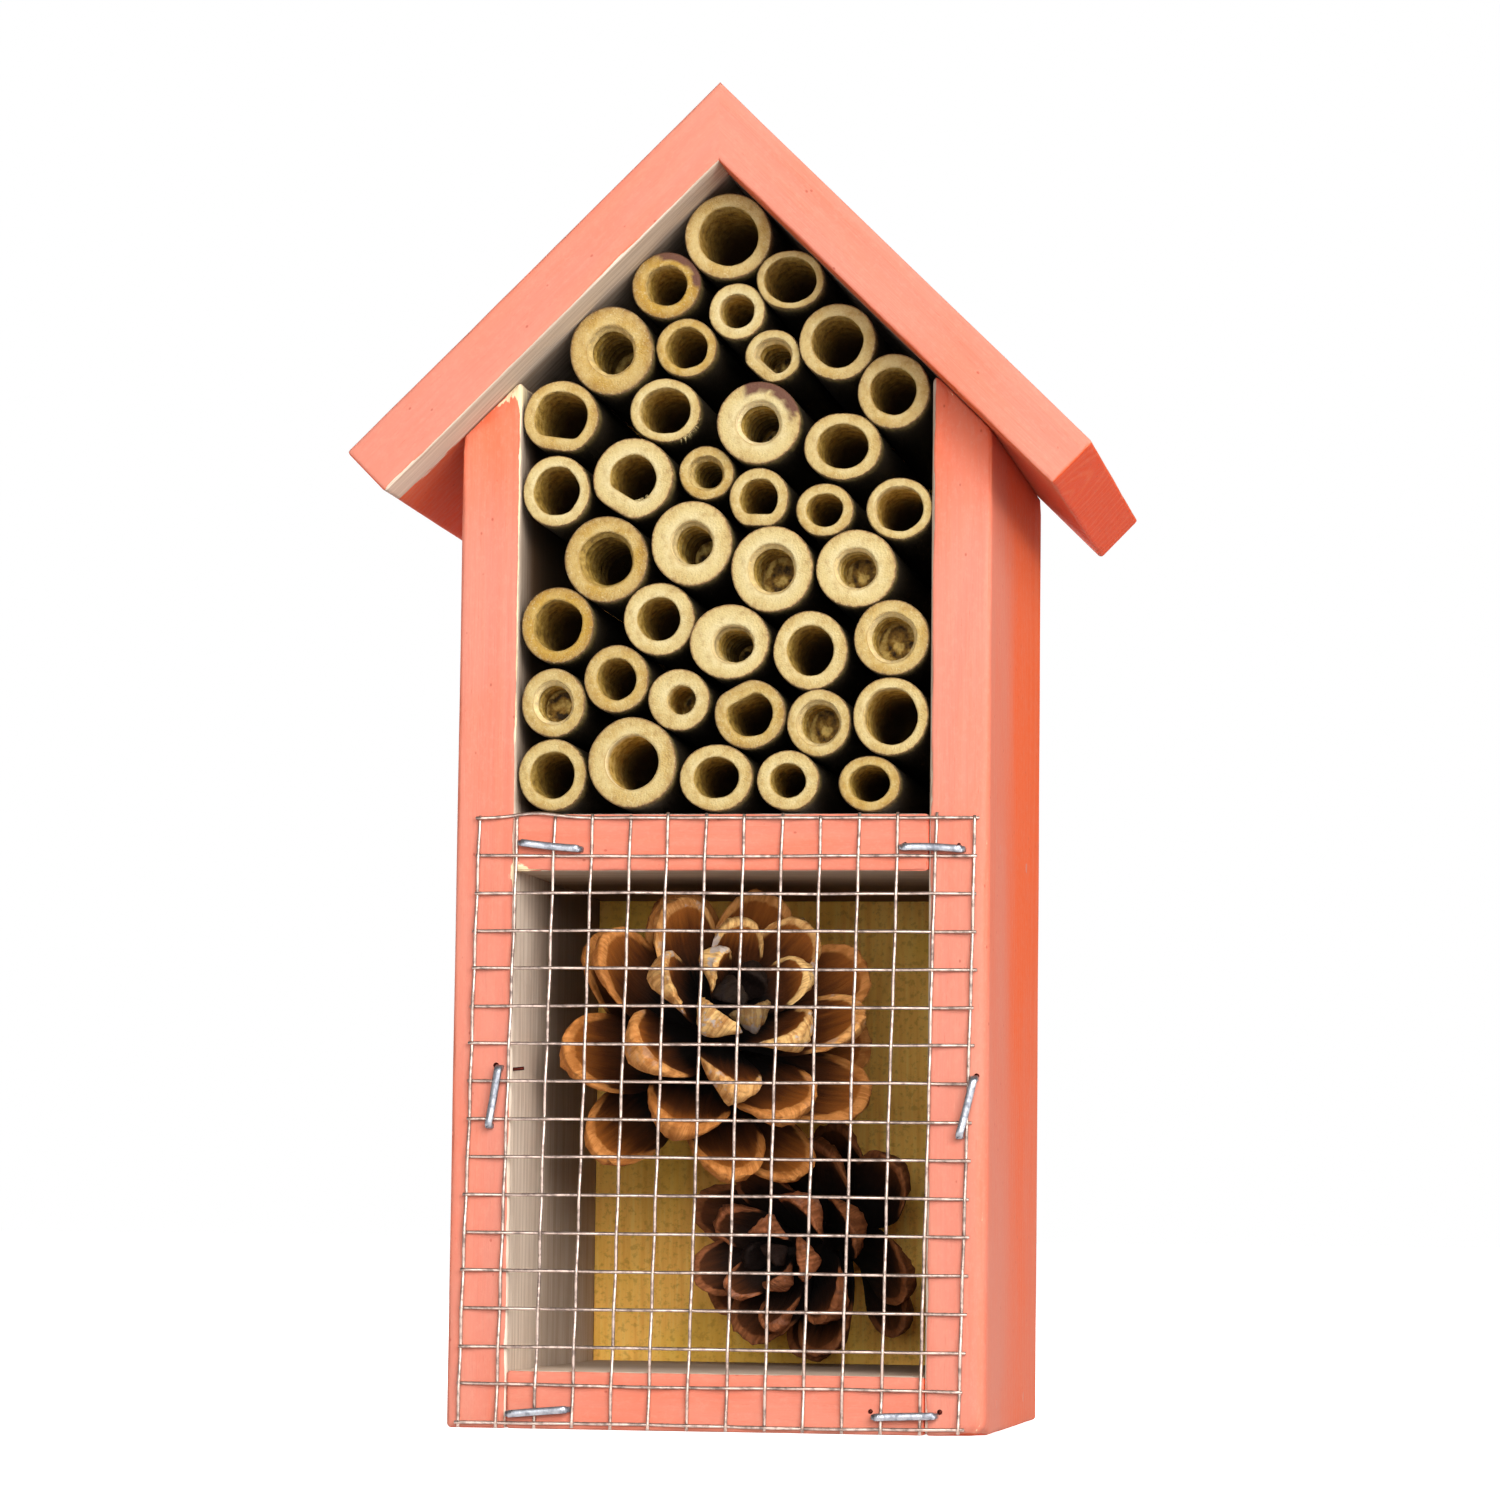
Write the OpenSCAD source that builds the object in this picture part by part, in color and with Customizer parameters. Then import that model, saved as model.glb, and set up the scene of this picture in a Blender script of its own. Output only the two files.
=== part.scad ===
// Insect hotel: a small painted wooden house for the garden.
// The upper room is packed with bamboo tubes and the lower room holds two
// pine cones behind a stapled wire mesh.
// X runs to the right, Y runs from the open front to the back, and Z runs up.
// The origin is at the middle of the footprint, on the surface it stands on.

/* [Rooms] */
// Clear width between the two side boards
inner_w = 69; // [69:1:80]
// Clear height of the lower room, from the floor board to the shelf
chamber_h = 82; // [82:1:92]
// Height from the top of the shelf to the inside of the ridge
loft_h = 107; // [107:1:115]
// Depth of the side boards
body_d = 80; // [74:1:100]

/* [Boards] */
// Thickness of the side boards
side_t = 10; // [10:0.5:14]
// Thickness of the floor board and the shelf
shelf_t = 9.5; // [9:0.5:12]
// Thickness of the plywood back panel
back_t = 3; // [3:0.5:4]
// Distance from the rear edges of the side boards in to the back panel
back_inset = 2; // [2:0.5:4]

/* [Roof] */
// Slope of each half of the roof, in degrees
roof_pitch = 44.5; // [42:0.5:44.5]
// Thickness of the roof boards
roof_t = 9.5; // [9:0.5:12]
// Width over both eaves
roof_w = 124; // [122:1:140]
// How far the roof stands out over the front
overhang = 10; // [6:1:20]

/* [Wire mesh] */
// Diameter of the mesh wire
wire_d = 0.6; // [0.4:0.1:0.8]
// Distance between upright wires
upright_pitch = 6.35; // [6.3:0.05:6.5]
// Distance between cross wires
cross_pitch = 6.2; // [6.1:0.05:6.3]
// How far the upright wires lean to the right, in degrees
mesh_lean = 1.15; // [1:0.05:1.3]

/* [Staples] */
// Outside width of a staple
staple_w = 10.6; // [10.4:0.1:10.8]
// Length of a staple leg
staple_leg = 8; // [6:0.5:9]

/* [Pine cones] */
// Widest radius of the large cone
large_cone_r = 26.5; // [20:0.5:26.5]
// Widest radius of the small cone
small_cone_r = 21; // [14:0.5:21]

/* [Hanging plate] */
// Width of the plate on the back
plate_w = 16; // [14:1:18]
// Height of the plate
plate_h = 28; // [28:1:30]
// Diameter of the round hole that passes over the head of the wall screw
keyhole_d = 8; // [7:0.5:8]
// Width of the slot that rests on the shank of the wall screw
keyslot_w = 4; // [3:0.5:4]

/* [Hidden] */
$fn = 48;
touch = 0.01;
fit_gap = 0.05;

roof_d = body_d + overhang;
rear_y = roof_d / 2;
roof_front_y = -roof_d / 2;
front_y = roof_front_y + overhang;
panel_rear_y = rear_y - back_inset;
panel_y = panel_rear_y - back_t;

side_x = inner_w / 2;
outer_x = side_x + side_t;
shelf_z = shelf_t + chamber_h;
shelf_top = shelf_z + shelf_t;
ridge_z = shelf_top + loft_h;
ridge_top = ridge_z + roof_t / cos(roof_pitch);

// Bamboo tubes, from the ridge down to the shelf. Each row is one tube:
// centre to the right, centre above the shelf, outer diameter, bore diameter,
// how far its mouth is set back, and how deep its bore goes.
tubes = [
    [0, 96.5, 14.6, 10, 0.4, 58],
    [-10.5, 88.5, 11.6, 7, 1, 60],
    [10.5, 89, 10.8, 8.2, 0.6, 56],
    [1.5, 84, 9.6, 5.8, 1.2, 54],
    [-19.5, 77.5, 14.6, 8.2, 0.2, 24],
    [-7, 78, 10.2, 7, 1.4, 58],
    [18.5, 78.5, 13, 8.6, 0.8, 60],
    [7.5, 76.5, 9.2, 6.2, 2, 18],
    [28, 70, 12.4, 7.8, 0.4, 58],
    [-28, 66.5, 12.6, 8.8, 0.6, 60],
    [-10.5, 67.5, 11.4, 8.2, 1.6, 56],
    [5.5, 65, 14, 7.4, 0.2, 28],
    [19.5, 61, 12.2, 8, 1, 60],
    [-28.5, 54, 11.8, 8, 0.4, 58],
    [-15.5, 56, 13.6, 7.8, 0.2, 60],
    [-3.5, 57, 9.2, 5.8, 2.2, 26],
    [5.5, 52.5, 10.2, 6.6, 1.4, 56],
    [16.5, 50.5, 9.4, 5.8, 1.6, 58],
    [29, 50.5, 10.8, 7.8, 1, 60],
    [-20, 42.5, 14.4, 9.2, 0.8, 60],
    [-5.5, 45, 14, 7.2, 0.2, 22],
    [8, 40.5, 14.2, 8.2, 0, 14],
    [22, 40.5, 13.2, 7, 0.4, 12],
    [-28, 31.5, 12.6, 8.4, 0.6, 58],
    [-11, 32.5, 12.2, 7.2, 1.2, 40],
    [1, 28.5, 13, 6.8, 0.2, 26],
    [14.5, 27, 12.8, 8, 0.6, 58],
    [28, 29, 12.6, 8.2, 0.4, 12],
    [-28.5, 18.5, 11.2, 7, 0.4, 10],
    [-18, 22.5, 11.2, 6.8, 1, 58],
    [-7.5, 19, 10.4, 4.8, 1.2, 16],
    [4.5, 16.5, 11.8, 7.6, 0.6, 60],
    [16, 15, 11, 7.4, 0.8, 12],
    [28, 16, 12.8, 9.2, 0.2, 58],
    [-28.5, 6.5, 11.8, 7.6, 0.6, 60],
    [-15, 8.5, 15, 9, 0, 46],
    [-1, 6, 11.8, 7.2, 0.8, 58],
    [11, 5.5, 10.2, 5.8, 0.6, 58],
    [24.5, 5, 9.8, 6.4, 1, 56],
];
// Gap left between the tubes and the back panel for the head of a wall screw
tube_back_gap = 3;
// Thickness of the natural wall that closes a bamboo bore
node_wall = 2;
// A bore that ends further than this from the back is open again behind its wall
rear_bore_min = 12;

// The mesh covers the lower room and laps onto the boards round it.
mesh_uprights = 14;
mesh_top_z = shelf_top - 0.8;
mesh_crosses = floor((mesh_top_z - 0.8) / cross_pitch) + 1;
mesh_bottom_z = mesh_top_z - (mesh_crosses - 1) * cross_pitch;
mesh_left_x = -side_x - 5.9;
mesh_end = 1;
mesh_front_y = front_y - 2 * wire_d;

// Staples: centre to the right, centre height and angle of the crown
staple_band = 1.2;
staple_t = 0.9;
staples = [
    [-side_x + 6.2, shelf_top - 5.4, -6],
    [side_x + 0.7, shelf_top - 5.8, -2],
    [-side_x - 2.6, 54.2, 81],
    [side_x + 6.7, 53, 76],
    [-side_x + 5.5, 2.9, 5],
    [side_x - 3.1, 3.1, 2],
];

nail_d = 1.4;
nail_head_d = 1.8;
nail_head_t = 0.6;
side_nail_len = 25;
side_nail_ys = [front_y + 16, rear_y - 22];
roof_nail_len = 16;
roof_nail_x = side_x + 0.8 * side_t;
ridge_pin_len = 11;
ridge_pin_z = ridge_top - 6.5;
brad_d = 1.2;
brad_head_d = 2.4;
brad_len = 12;
brad_xs = [-side_x * 0.6, side_x * 0.6];

plate_t = 1;
plate_z = ridge_z - 24;
keyhole_z = plate_z - 3;
keyslot_z = keyhole_z + 8;
plate_screw_zs = [plate_z - plate_h / 2 + 3, plate_z + plate_h / 2 - 3];
plate_screw_d = 2.2;
plate_screw_len = 5.5;
plate_screw_head_d = 4.6;
plate_screw_head_t = 1;
recess_w = 0.6;
recess_len = 2.4;
recess_depth = 0.7;
cutout_w = 10;

golden_angle = 137.508;
large_cone_tip = [3.8, front_y + 8.8, 74.2];
large_cone_aim = [67, 0, 26];
small_cone_tip = [2.8, front_y + 38, 29.8];
small_cone_aim = [93, 0, -13];

WOOD = ["left_side", "right_side", "floor_board", "middle_shelf",
    "roof_left", "roof_right", "back_panel"];
FIXINGS = ["side_nails", "roof_nails", "ridge_pins", "back_panel_brads",
    "mesh_upright_wires", "mesh_cross_wires", "mesh_staples",
    "hanging_plate", "hanging_plate_screws"];
CONES = ["pine_cone_large", "pine_cone_small"];
function tube_name(i) = str("bamboo_tube_", i < 9 ? "0" : "", i + 1);
TUBES = [for (i = [0 : len(tubes) - 1]) tube_name(i)];

// Height of the underside of the roof at a distance x from the middle
function under_roof(x) = ridge_z - x * tan(roof_pitch);

// An outline drawn in X and Z, made as deep as d and ending at y = rear
module board(rear, d) {
    translate([0, rear, 0]) rotate([90, 0, 0]) linear_extrude(d) children();
}

// ---- Fixings, also used a little larger to cut their own holes ----

// A nail that points along -Z with its head flush at z = 0
module nail(len, d, head_d, head_t, gap) {
    translate([0, 0, -len - gap]) cylinder(h = len + gap, d = d + 2 * gap);
    translate([0, 0, -head_t - gap])
        cylinder(h = head_t + gap + (gap > 0 ? touch : 0), d = head_d + 2 * gap);
}

// Nails through each side board into the shelf and the floor
module side_nail_set(gap) {
    for (side = [-1, 1], y = side_nail_ys, z = [shelf_t / 2, shelf_z + shelf_t / 2])
        translate([side * outer_x, y, z])
            rotate([0, side * 90, 0])
                nail(side_nail_len, nail_d, nail_head_d, nail_head_t, gap);
}

// Nails square through each roof board into the top of its side board
module roof_nail_set(gap) {
    for (side = [-1, 1], y = side_nail_ys)
        translate([side * roof_nail_x, y, under_roof(roof_nail_x)])
            rotate([0, side * roof_pitch, 0])
                translate([0, 0, roof_t])
                    nail(roof_nail_len, nail_d, nail_head_d, nail_head_t, gap);
}

// Headless pins across the mitre at the ridge
module ridge_pin_set(gap) {
    for (y = [roof_front_y + 14, 0, rear_y - 14])
        translate([-ridge_pin_len / 2 - gap, y, ridge_pin_z])
            rotate([0, 90, 0])
                cylinder(h = ridge_pin_len + 2 * gap, d = brad_d + 2 * gap);
}

// Brads through the back panel into the rear edges of the shelf and floor
module brad_set(gap) {
    for (x = brad_xs, z = [shelf_t / 2, shelf_z + shelf_t / 2])
        translate([x, panel_rear_y + nail_head_t, z])
            rotate([-90, 0, 0])
                nail(brad_len, brad_d, brad_head_d, nail_head_t, gap);
}

// One leg of a staple, driven along +Y from the front of its crown
module staple_leg_bar(x, gap) {
    translate([x - staple_t / 2 - gap, 0, -staple_band / 2 - gap])
        cube([staple_t + 2 * gap, staple_leg + gap, staple_band + 2 * gap]);
}

// Both legs of every staple
module staple_leg_set(gap) {
    leg_x = (staple_w - staple_t) / 2;
    for (s = staples)
        translate([s[0], mesh_front_y - staple_t, s[1]]) rotate([0, -s[2], 0]) {
            staple_leg_bar(-leg_x, gap);
            staple_leg_bar(leg_x, gap);
        }
}

// ---- Wooden boards ----

module side_outline() {
    polygon([
        [side_x, 0],
        [outer_x, 0],
        [outer_x, under_roof(outer_x)],
        [side_x, under_roof(side_x)],
    ]);
}

module left_side() {
    color("salmon") difference() {
        board(rear_y, body_d) mirror([1, 0]) side_outline();
        side_nail_set(fit_gap);
        roof_nail_set(fit_gap);
        staple_leg_set(fit_gap);
    }
}

module right_side() {
    color("salmon") difference() {
        board(rear_y, body_d) side_outline();
        side_nail_set(fit_gap);
        roof_nail_set(fit_gap);
        staple_leg_set(fit_gap);
    }
}

// A level board between the sides with its underside at height z
module level_board(z) {
    color("lightsalmon") difference() {
        translate([-side_x, front_y, z]) cube([inner_w, panel_y - front_y, shelf_t]);
        side_nail_set(fit_gap);
        brad_set(fit_gap);
        staple_leg_set(fit_gap);
    }
}

module floor_board() level_board(0);

module middle_shelf() level_board(shelf_z);

module roof_outline() {
    eave_z = ridge_top - roof_w / 2 * tan(roof_pitch);
    polygon([
        [0, ridge_z],
        [roof_w / 2 - roof_t * sin(roof_pitch), eave_z - roof_t * cos(roof_pitch)],
        [roof_w / 2, eave_z],
        [0, ridge_top],
    ]);
}

module roof_right() {
    color("coral") difference() {
        board(rear_y, roof_d) roof_outline();
        roof_nail_set(fit_gap);
        ridge_pin_set(fit_gap);
    }
}

module roof_left() {
    color("coral") difference() {
        board(rear_y, roof_d) mirror([1, 0]) roof_outline();
        roof_nail_set(fit_gap);
        ridge_pin_set(fit_gap);
    }
}

// Plywood back, cut away behind the keyhole so that a screw head can enter
module back_panel() {
    color("burlywood") difference() {
        board(panel_rear_y, back_t) polygon([
            [-side_x, 0],
            [side_x, 0],
            [side_x, under_roof(side_x)],
            [0, ridge_z],
            [-side_x, under_roof(side_x)],
        ]);
        translate([-cutout_w / 2, panel_y - 1, keyhole_z - cutout_w / 2])
            cube([cutout_w, back_t + 2, keyslot_z - keyhole_z + 0.8 * cutout_w]);
        for (z = plate_screw_zs)
            translate([0, panel_y - 1, z])
                rotate([-90, 0, 0])
                    cylinder(h = back_t + 2, d = plate_screw_d + 2 * fit_gap);
        brad_set(fit_gap);
    }
}

// ---- Bamboo ----

// One length of cane. Its bore ends at a natural wall, and the cane is
// hollow again behind a wall that is near the mouth.
module bamboo_tube(t) {
    mouth_y = front_y + t[4];
    len = panel_y - tube_back_gap - mouth_y;
    rear_bore = len - t[5] - node_wall;
    color("wheat") translate([t[0], mouth_y, shelf_top + t[1]])
        rotate([-90, 0, 0]) difference() {
            cylinder(h = len, d = t[2]);
            translate([0, 0, -1]) cylinder(h = t[5] + 1, d = t[3]);
            if (rear_bore > rear_bore_min)
                translate([0, 0, t[5] + node_wall]) cylinder(h = rear_bore + 1, d = t[3]);
        }
}

// ---- Pine cones ----

// One woody scale, lying along +X from the core: a flat claw, and a broad
// round end that is hollowed out, so that it has a raised lip
module cone_scale(len, w) {
    bed = 0.05 * w + 0.5;
    lip = 0.2 * w + 0.3;
    hollow_r = 1.6 * w;
    translate([0, 0, -bed]) difference() {
        union() {
            linear_extrude(1.2 * bed)
                polygon([[0, -w * 0.2], [len - w / 2, -w / 2], [len - w / 2, w / 2], [0, w * 0.2]]);
            translate([len - w / 2, 0, 0]) cylinder(h = lip, d = w);
        }
        translate([len - 0.75 * w, 0, bed + hollow_r]) sphere(r = hollow_r);
    }
}

// An open cone with its tip near the origin and its stalk end below. The
// scales follow a spiral that starts at the angle turn: short and raised at
// the tip, long and spread further down. They reach further along X by the
// share oval, and less across it. The spiral runs the other way round at a
// hand of -1, and the widest scales are the share broad of r wide.
module pine_cone(r, count, turn, hand, oval, broad) {
    translate([0, 0, -1.6 * r]) cylinder(h = 1.3 * r, r1 = 0.2 * r, r2 = 0.12 * r);
    for (i = [0 : count - 1]) {
        t = i / (count - 1);
        angle = turn + i * hand * golden_angle;
        spread = 30 + 52 * pow(t, 0.75);
        reach = max(r * (0.12 + 2.2 * t - 1.3 * t * t) / sin(spread), 0.3 * r);
        rotate([0, 0, angle])
            translate([0, 0, -r * (0.3 + 1.1 * t)])
                rotate([0, spread - 90, 0])
                    cone_scale(
                        reach * (1 + oval * cos(2 * angle)),
                        r * (0.24 + (broad - 0.24) * min(2 * t, 1))
                    );
    }
}

module pine_cone_large() {
    color("sienna") translate(large_cone_tip) rotate(large_cone_aim)
        pine_cone(large_cone_r, 29, 197, -1, 0.06, 0.52);
}

module pine_cone_small() {
    color("saddlebrown") translate(small_cone_tip) rotate(small_cone_aim)
        pine_cone(small_cone_r, 25, 30, 1, 0.06, 0.58);
}

// ---- Nails, mesh, staples and hanging plate ----

module side_nails() color("dimgray") side_nail_set(0);

module roof_nails() color("dimgray") roof_nail_set(0);

module ridge_pins() color("dimgray") ridge_pin_set(0);

module back_panel_brads() color("dimgray") brad_set(0);

// Upright wires lie on the wood and lean a little to the right
module mesh_upright_wires() {
    height = mesh_top_z - mesh_bottom_z + 2 * mesh_end;
    color("silver") for (i = [0 : mesh_uprights - 1])
        translate([mesh_left_x + i * upright_pitch, front_y - wire_d / 2, mesh_top_z])
            rotate([0, mesh_lean, 0])
                translate([0, 0, mesh_end - height]) cylinder(h = height, d = wire_d);
}

// Cross wires lie in front of the upright wires
module mesh_cross_wires() {
    width = (mesh_uprights - 1) * upright_pitch + 2 * mesh_end;
    color("silver") for (i = [0 : mesh_crosses - 1])
        translate([
            mesh_left_x - mesh_end - i * cross_pitch * tan(mesh_lean),
            front_y - 1.5 * wire_d,
            mesh_top_z - i * cross_pitch,
        ])
            rotate([0, 90, 0]) cylinder(h = width, d = wire_d);
}

module mesh_staples() {
    color("lightsteelblue") {
        staple_leg_set(0);
        for (s = staples)
            translate([s[0], mesh_front_y - staple_t, s[1]]) rotate([0, -s[2], 0])
                translate([-staple_w / 2, 0, -staple_band / 2])
                    cube([staple_w, staple_t, staple_band]);
    }
}

// Steel plate with a keyhole, screwed to the back near the ridge
module hanging_plate() {
    color("silver") difference() {
        translate([-plate_w / 2, panel_rear_y, plate_z - plate_h / 2])
            cube([plate_w, plate_t, plate_h]);
        translate([0, panel_rear_y - 1, keyhole_z]) rotate([-90, 0, 0])
            cylinder(h = plate_t + 2, d = keyhole_d);
        translate([0, panel_rear_y - 1, keyslot_z]) rotate([-90, 0, 0])
            cylinder(h = plate_t + 2, d = keyslot_w);
        translate([-keyslot_w / 2, panel_rear_y - 1, keyhole_z])
            cube([keyslot_w, plate_t + 2, keyslot_z - keyhole_z]);
        for (z = plate_screw_zs)
            translate([0, panel_rear_y - 1, z]) rotate([-90, 0, 0])
                cylinder(h = plate_t + 2, d = plate_screw_d + 2 * fit_gap);
    }
}

module hanging_plate_screws() {
    head_y = panel_rear_y + plate_t;
    color("gray") for (z = plate_screw_zs)
        translate([0, head_y, z]) rotate([-90, 0, 0]) {
            translate([0, 0, -plate_screw_len])
                cylinder(h = plate_screw_len + touch, d = plate_screw_d);
            difference() {
                cylinder(h = plate_screw_head_t, d = plate_screw_head_d);
                for (turn = [45, 135]) rotate([0, 0, turn])
                    translate([-recess_len / 2, -recess_w / 2, plate_screw_head_t - recess_depth])
                        cube([recess_len, recess_w, 1]);
            }
        }
}

left_side();
right_side();
floor_board();
middle_shelf();
roof_left();
roof_right();
back_panel();
for (i = [0 : len(tubes) - 1])
    bamboo_tube(tubes[i]);
pine_cone_large();
pine_cone_small();
side_nails();
roof_nails();
ridge_pins();
back_panel_brads();
mesh_upright_wires();
mesh_cross_wires();
mesh_staples();
hanging_plate();
hanging_plate_screws();
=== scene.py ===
"""Looks of the insect hotel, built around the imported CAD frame.

Places and sizes come from the boxes and meshes of the CAD nodes where they can.
Lengths are in metres, and MM is a millimetre.
"""
import math
import random

import bmesh
import bpy
from mathutils import Matrix, Vector, noise


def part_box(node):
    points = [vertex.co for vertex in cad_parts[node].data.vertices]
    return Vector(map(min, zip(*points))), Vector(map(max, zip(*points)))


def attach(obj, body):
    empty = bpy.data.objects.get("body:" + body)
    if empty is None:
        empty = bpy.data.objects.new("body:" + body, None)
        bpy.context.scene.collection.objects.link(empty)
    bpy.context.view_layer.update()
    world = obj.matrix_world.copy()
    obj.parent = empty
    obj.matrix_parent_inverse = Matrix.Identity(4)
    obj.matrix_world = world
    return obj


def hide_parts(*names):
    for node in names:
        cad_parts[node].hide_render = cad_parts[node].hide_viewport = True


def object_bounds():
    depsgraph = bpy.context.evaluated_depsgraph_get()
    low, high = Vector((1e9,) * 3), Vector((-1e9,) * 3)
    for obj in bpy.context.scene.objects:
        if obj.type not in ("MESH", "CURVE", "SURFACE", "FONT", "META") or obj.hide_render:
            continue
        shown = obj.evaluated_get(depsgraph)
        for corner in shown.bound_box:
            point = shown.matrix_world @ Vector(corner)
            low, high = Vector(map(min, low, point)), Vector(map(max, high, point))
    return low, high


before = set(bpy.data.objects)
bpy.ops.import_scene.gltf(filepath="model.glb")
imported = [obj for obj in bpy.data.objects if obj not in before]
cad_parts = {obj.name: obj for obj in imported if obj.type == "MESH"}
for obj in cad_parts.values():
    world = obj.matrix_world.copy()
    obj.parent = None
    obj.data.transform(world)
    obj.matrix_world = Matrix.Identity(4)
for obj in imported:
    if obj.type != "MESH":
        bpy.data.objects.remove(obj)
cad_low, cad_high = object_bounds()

MM = 0.001
TURN = 2 * math.pi
ROOF_PITCH = math.radians(44.5)
BOARD_T = 9.5 * MM
WIRE_R = 0.27 * MM
RING_SPACING = 2.3  # between the year rings of a board, in millimetres
ARC_SPACING = 4.2  # between the pale arcs on its end grain

left_side_low, left_side_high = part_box("left_side")
right_side_low, right_side_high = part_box("right_side")
FRONT_Y = left_side_low.y
SIDE_X = right_side_low.x
OUTER_X = right_side_high.x
SHELF_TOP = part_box("middle_shelf")[1].z


# ---------------------------------------------------------------- camera

# Where the camera stands, and how it is turned, in degrees
CAMERA_AT = Vector((135.1, -842.5, 32.0)) * MM
CAMERA_YAW, CAMERA_PITCH, CAMERA_ROLL = 9.17, 5.55, 0.67
CAMERA_LENS = 119.8


def make_camera():
    yaw, pitch, roll = (math.radians(a) for a in (CAMERA_YAW, CAMERA_PITCH, CAMERA_ROLL))
    ahead = math.cos(pitch)
    forward = Vector((-math.sin(yaw) * ahead, math.cos(yaw) * ahead, math.sin(pitch)))
    level = Vector((math.cos(yaw), math.sin(yaw), 0))
    upright = level.cross(forward)
    right = math.cos(roll) * level + math.sin(roll) * upright
    up = -math.sin(roll) * level + math.cos(roll) * upright
    camera = bpy.data.objects.new("camera", bpy.data.cameras.new("camera"))
    camera.data.lens = CAMERA_LENS
    camera.data.sensor_width = 36
    camera.data.clip_start = 0.01
    turned = Matrix((right, up, -forward)).transposed().to_4x4()
    camera.matrix_world = Matrix.Translation(CAMERA_AT) @ turned
    bpy.context.scene.collection.objects.link(camera)
    bpy.context.scene.camera = camera


make_camera()


# ------------------------------------------------- node material helpers

def srgb(red, green, blue):
    """A colour given as 0 to 255 screen values, as linear RGBA."""
    def linear(c):
        c /= 255
        return c / 12.92 if c <= 0.04045 else ((c + 0.055) / 1.055) ** 2.4
    return (linear(red), linear(green), linear(blue), 1)


class Nodes:
    """Short calls that build a node tree."""

    def __init__(self, tree):
        self.tree = tree

    def fill(self, socket, value):
        """Links a socket, or sets its number or its colour, given as screen values."""
        if isinstance(value, bpy.types.NodeSocket):
            self.tree.links.new(value, socket)
        else:
            socket.default_value = srgb(*value) if isinstance(value, tuple) else value

    def node(self, kind, *values, **settings):
        made = self.tree.nodes.new("ShaderNode" + kind)
        for key, value in settings.items():
            setattr(made, key, value)
        for socket, value in zip(made.inputs, values):
            self.fill(socket, value)
        return made


class Material(Nodes):
    """A node material with one Principled shader."""

    def __init__(self, name):
        self.material = bpy.data.materials.new(name)
        self.material.use_nodes = True
        super().__init__(self.material.node_tree)
        self.shader = self.tree.nodes["Principled BSDF"]

    def position(self, scale=(1, 1, 1)):
        """The point in the piece's own axes, in millimetres times scale."""
        place = self.node("TexCoord").outputs["Object"]
        mapping = self.node("Mapping", place)
        mapping.inputs["Scale"].default_value = [s / MM for s in scale]
        return mapping.outputs["Vector"]

    def mask(self, name):
        return self.node("Attribute", attribute_name=name).outputs["Fac"]

    def normal(self, axis):
        """One part of the normal in the piece's own axes."""
        return self.node("SeparateXYZ", self.node("TexCoord").outputs["Normal"]).outputs[axis]

    def noise(self, scale, detail=4.0, rough=0.55, stretch=(1, 1, 1), distort=0.0, place=None):
        made = self.node("TexNoise", place or self.position(stretch))
        numbers = dict(Scale=scale, Detail=detail, Roughness=rough, Distortion=distort)
        for name, number in numbers.items():
            made.inputs[name].default_value = number
        return made.outputs["Fac"]

    def spots(self, scale, stretch=(1, 1, 1)):
        made = self.node("TexVoronoi", self.position(stretch))
        made.inputs["Scale"].default_value = scale
        return made.outputs["Distance"]

    def math(self, operation, a, b=0.0, clamp=False):
        return self.node("Math", a, b, operation=operation, use_clamp=clamp).outputs[0]

    def times(self, a, b):
        return self.math("MULTIPLY", a, b)

    def plus(self, a, b, clamp=False):
        return self.math("ADD", a, b, clamp)

    def span(self, value, *limits):
        """A value from low to high, smoothly, as 0 to 1 or as two other numbers."""
        numbers = limits if len(limits) == 4 else limits + (0.0, 1.0)
        return self.node("MapRange", value, *numbers, interpolation_type="SMOOTHSTEP").outputs["Result"]

    def mix(self, factor, a, b):
        made = self.node("Mix", data_type="RGBA")
        for socket, value in ((0, factor), (6, a), (7, b)):
            self.fill(made.inputs[socket], value)
        return made.outputs[2]

    def ramp(self, factor, *stops):
        made = self.node("ValToRGB", factor)
        elements = made.color_ramp.elements
        while len(elements) < len(stops):
            elements.new(0.5)
        for element, (at, colour) in zip(elements, stops):
            element.position = at
            element.color = srgb(*colour)
        return made.outputs["Color"]

    def finish(self, colour, roughness, heights=(), **constants):
        """heights are (value, height in mm) pairs, added up as bumps."""
        self.fill(self.shader.inputs["Base Color"], colour)
        self.fill(self.shader.inputs["Roughness"], roughness)
        normal = None
        for height, tall in heights:
            bump = self.node("Bump")
            bump.inputs["Distance"].default_value = tall * MM
            self.fill(bump.inputs["Height"], height)
            if normal is not None:
                self.fill(bump.inputs["Normal"], normal)
            normal = bump.outputs["Normal"]
        if normal is not None:
            self.fill(self.shader.inputs["Normal"], normal)
        for name, value in constants.items():
            self.shader.inputs[name.replace("_", " ")].default_value = value
        return self.material


# ---------------------------------------------------------- materials

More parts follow.
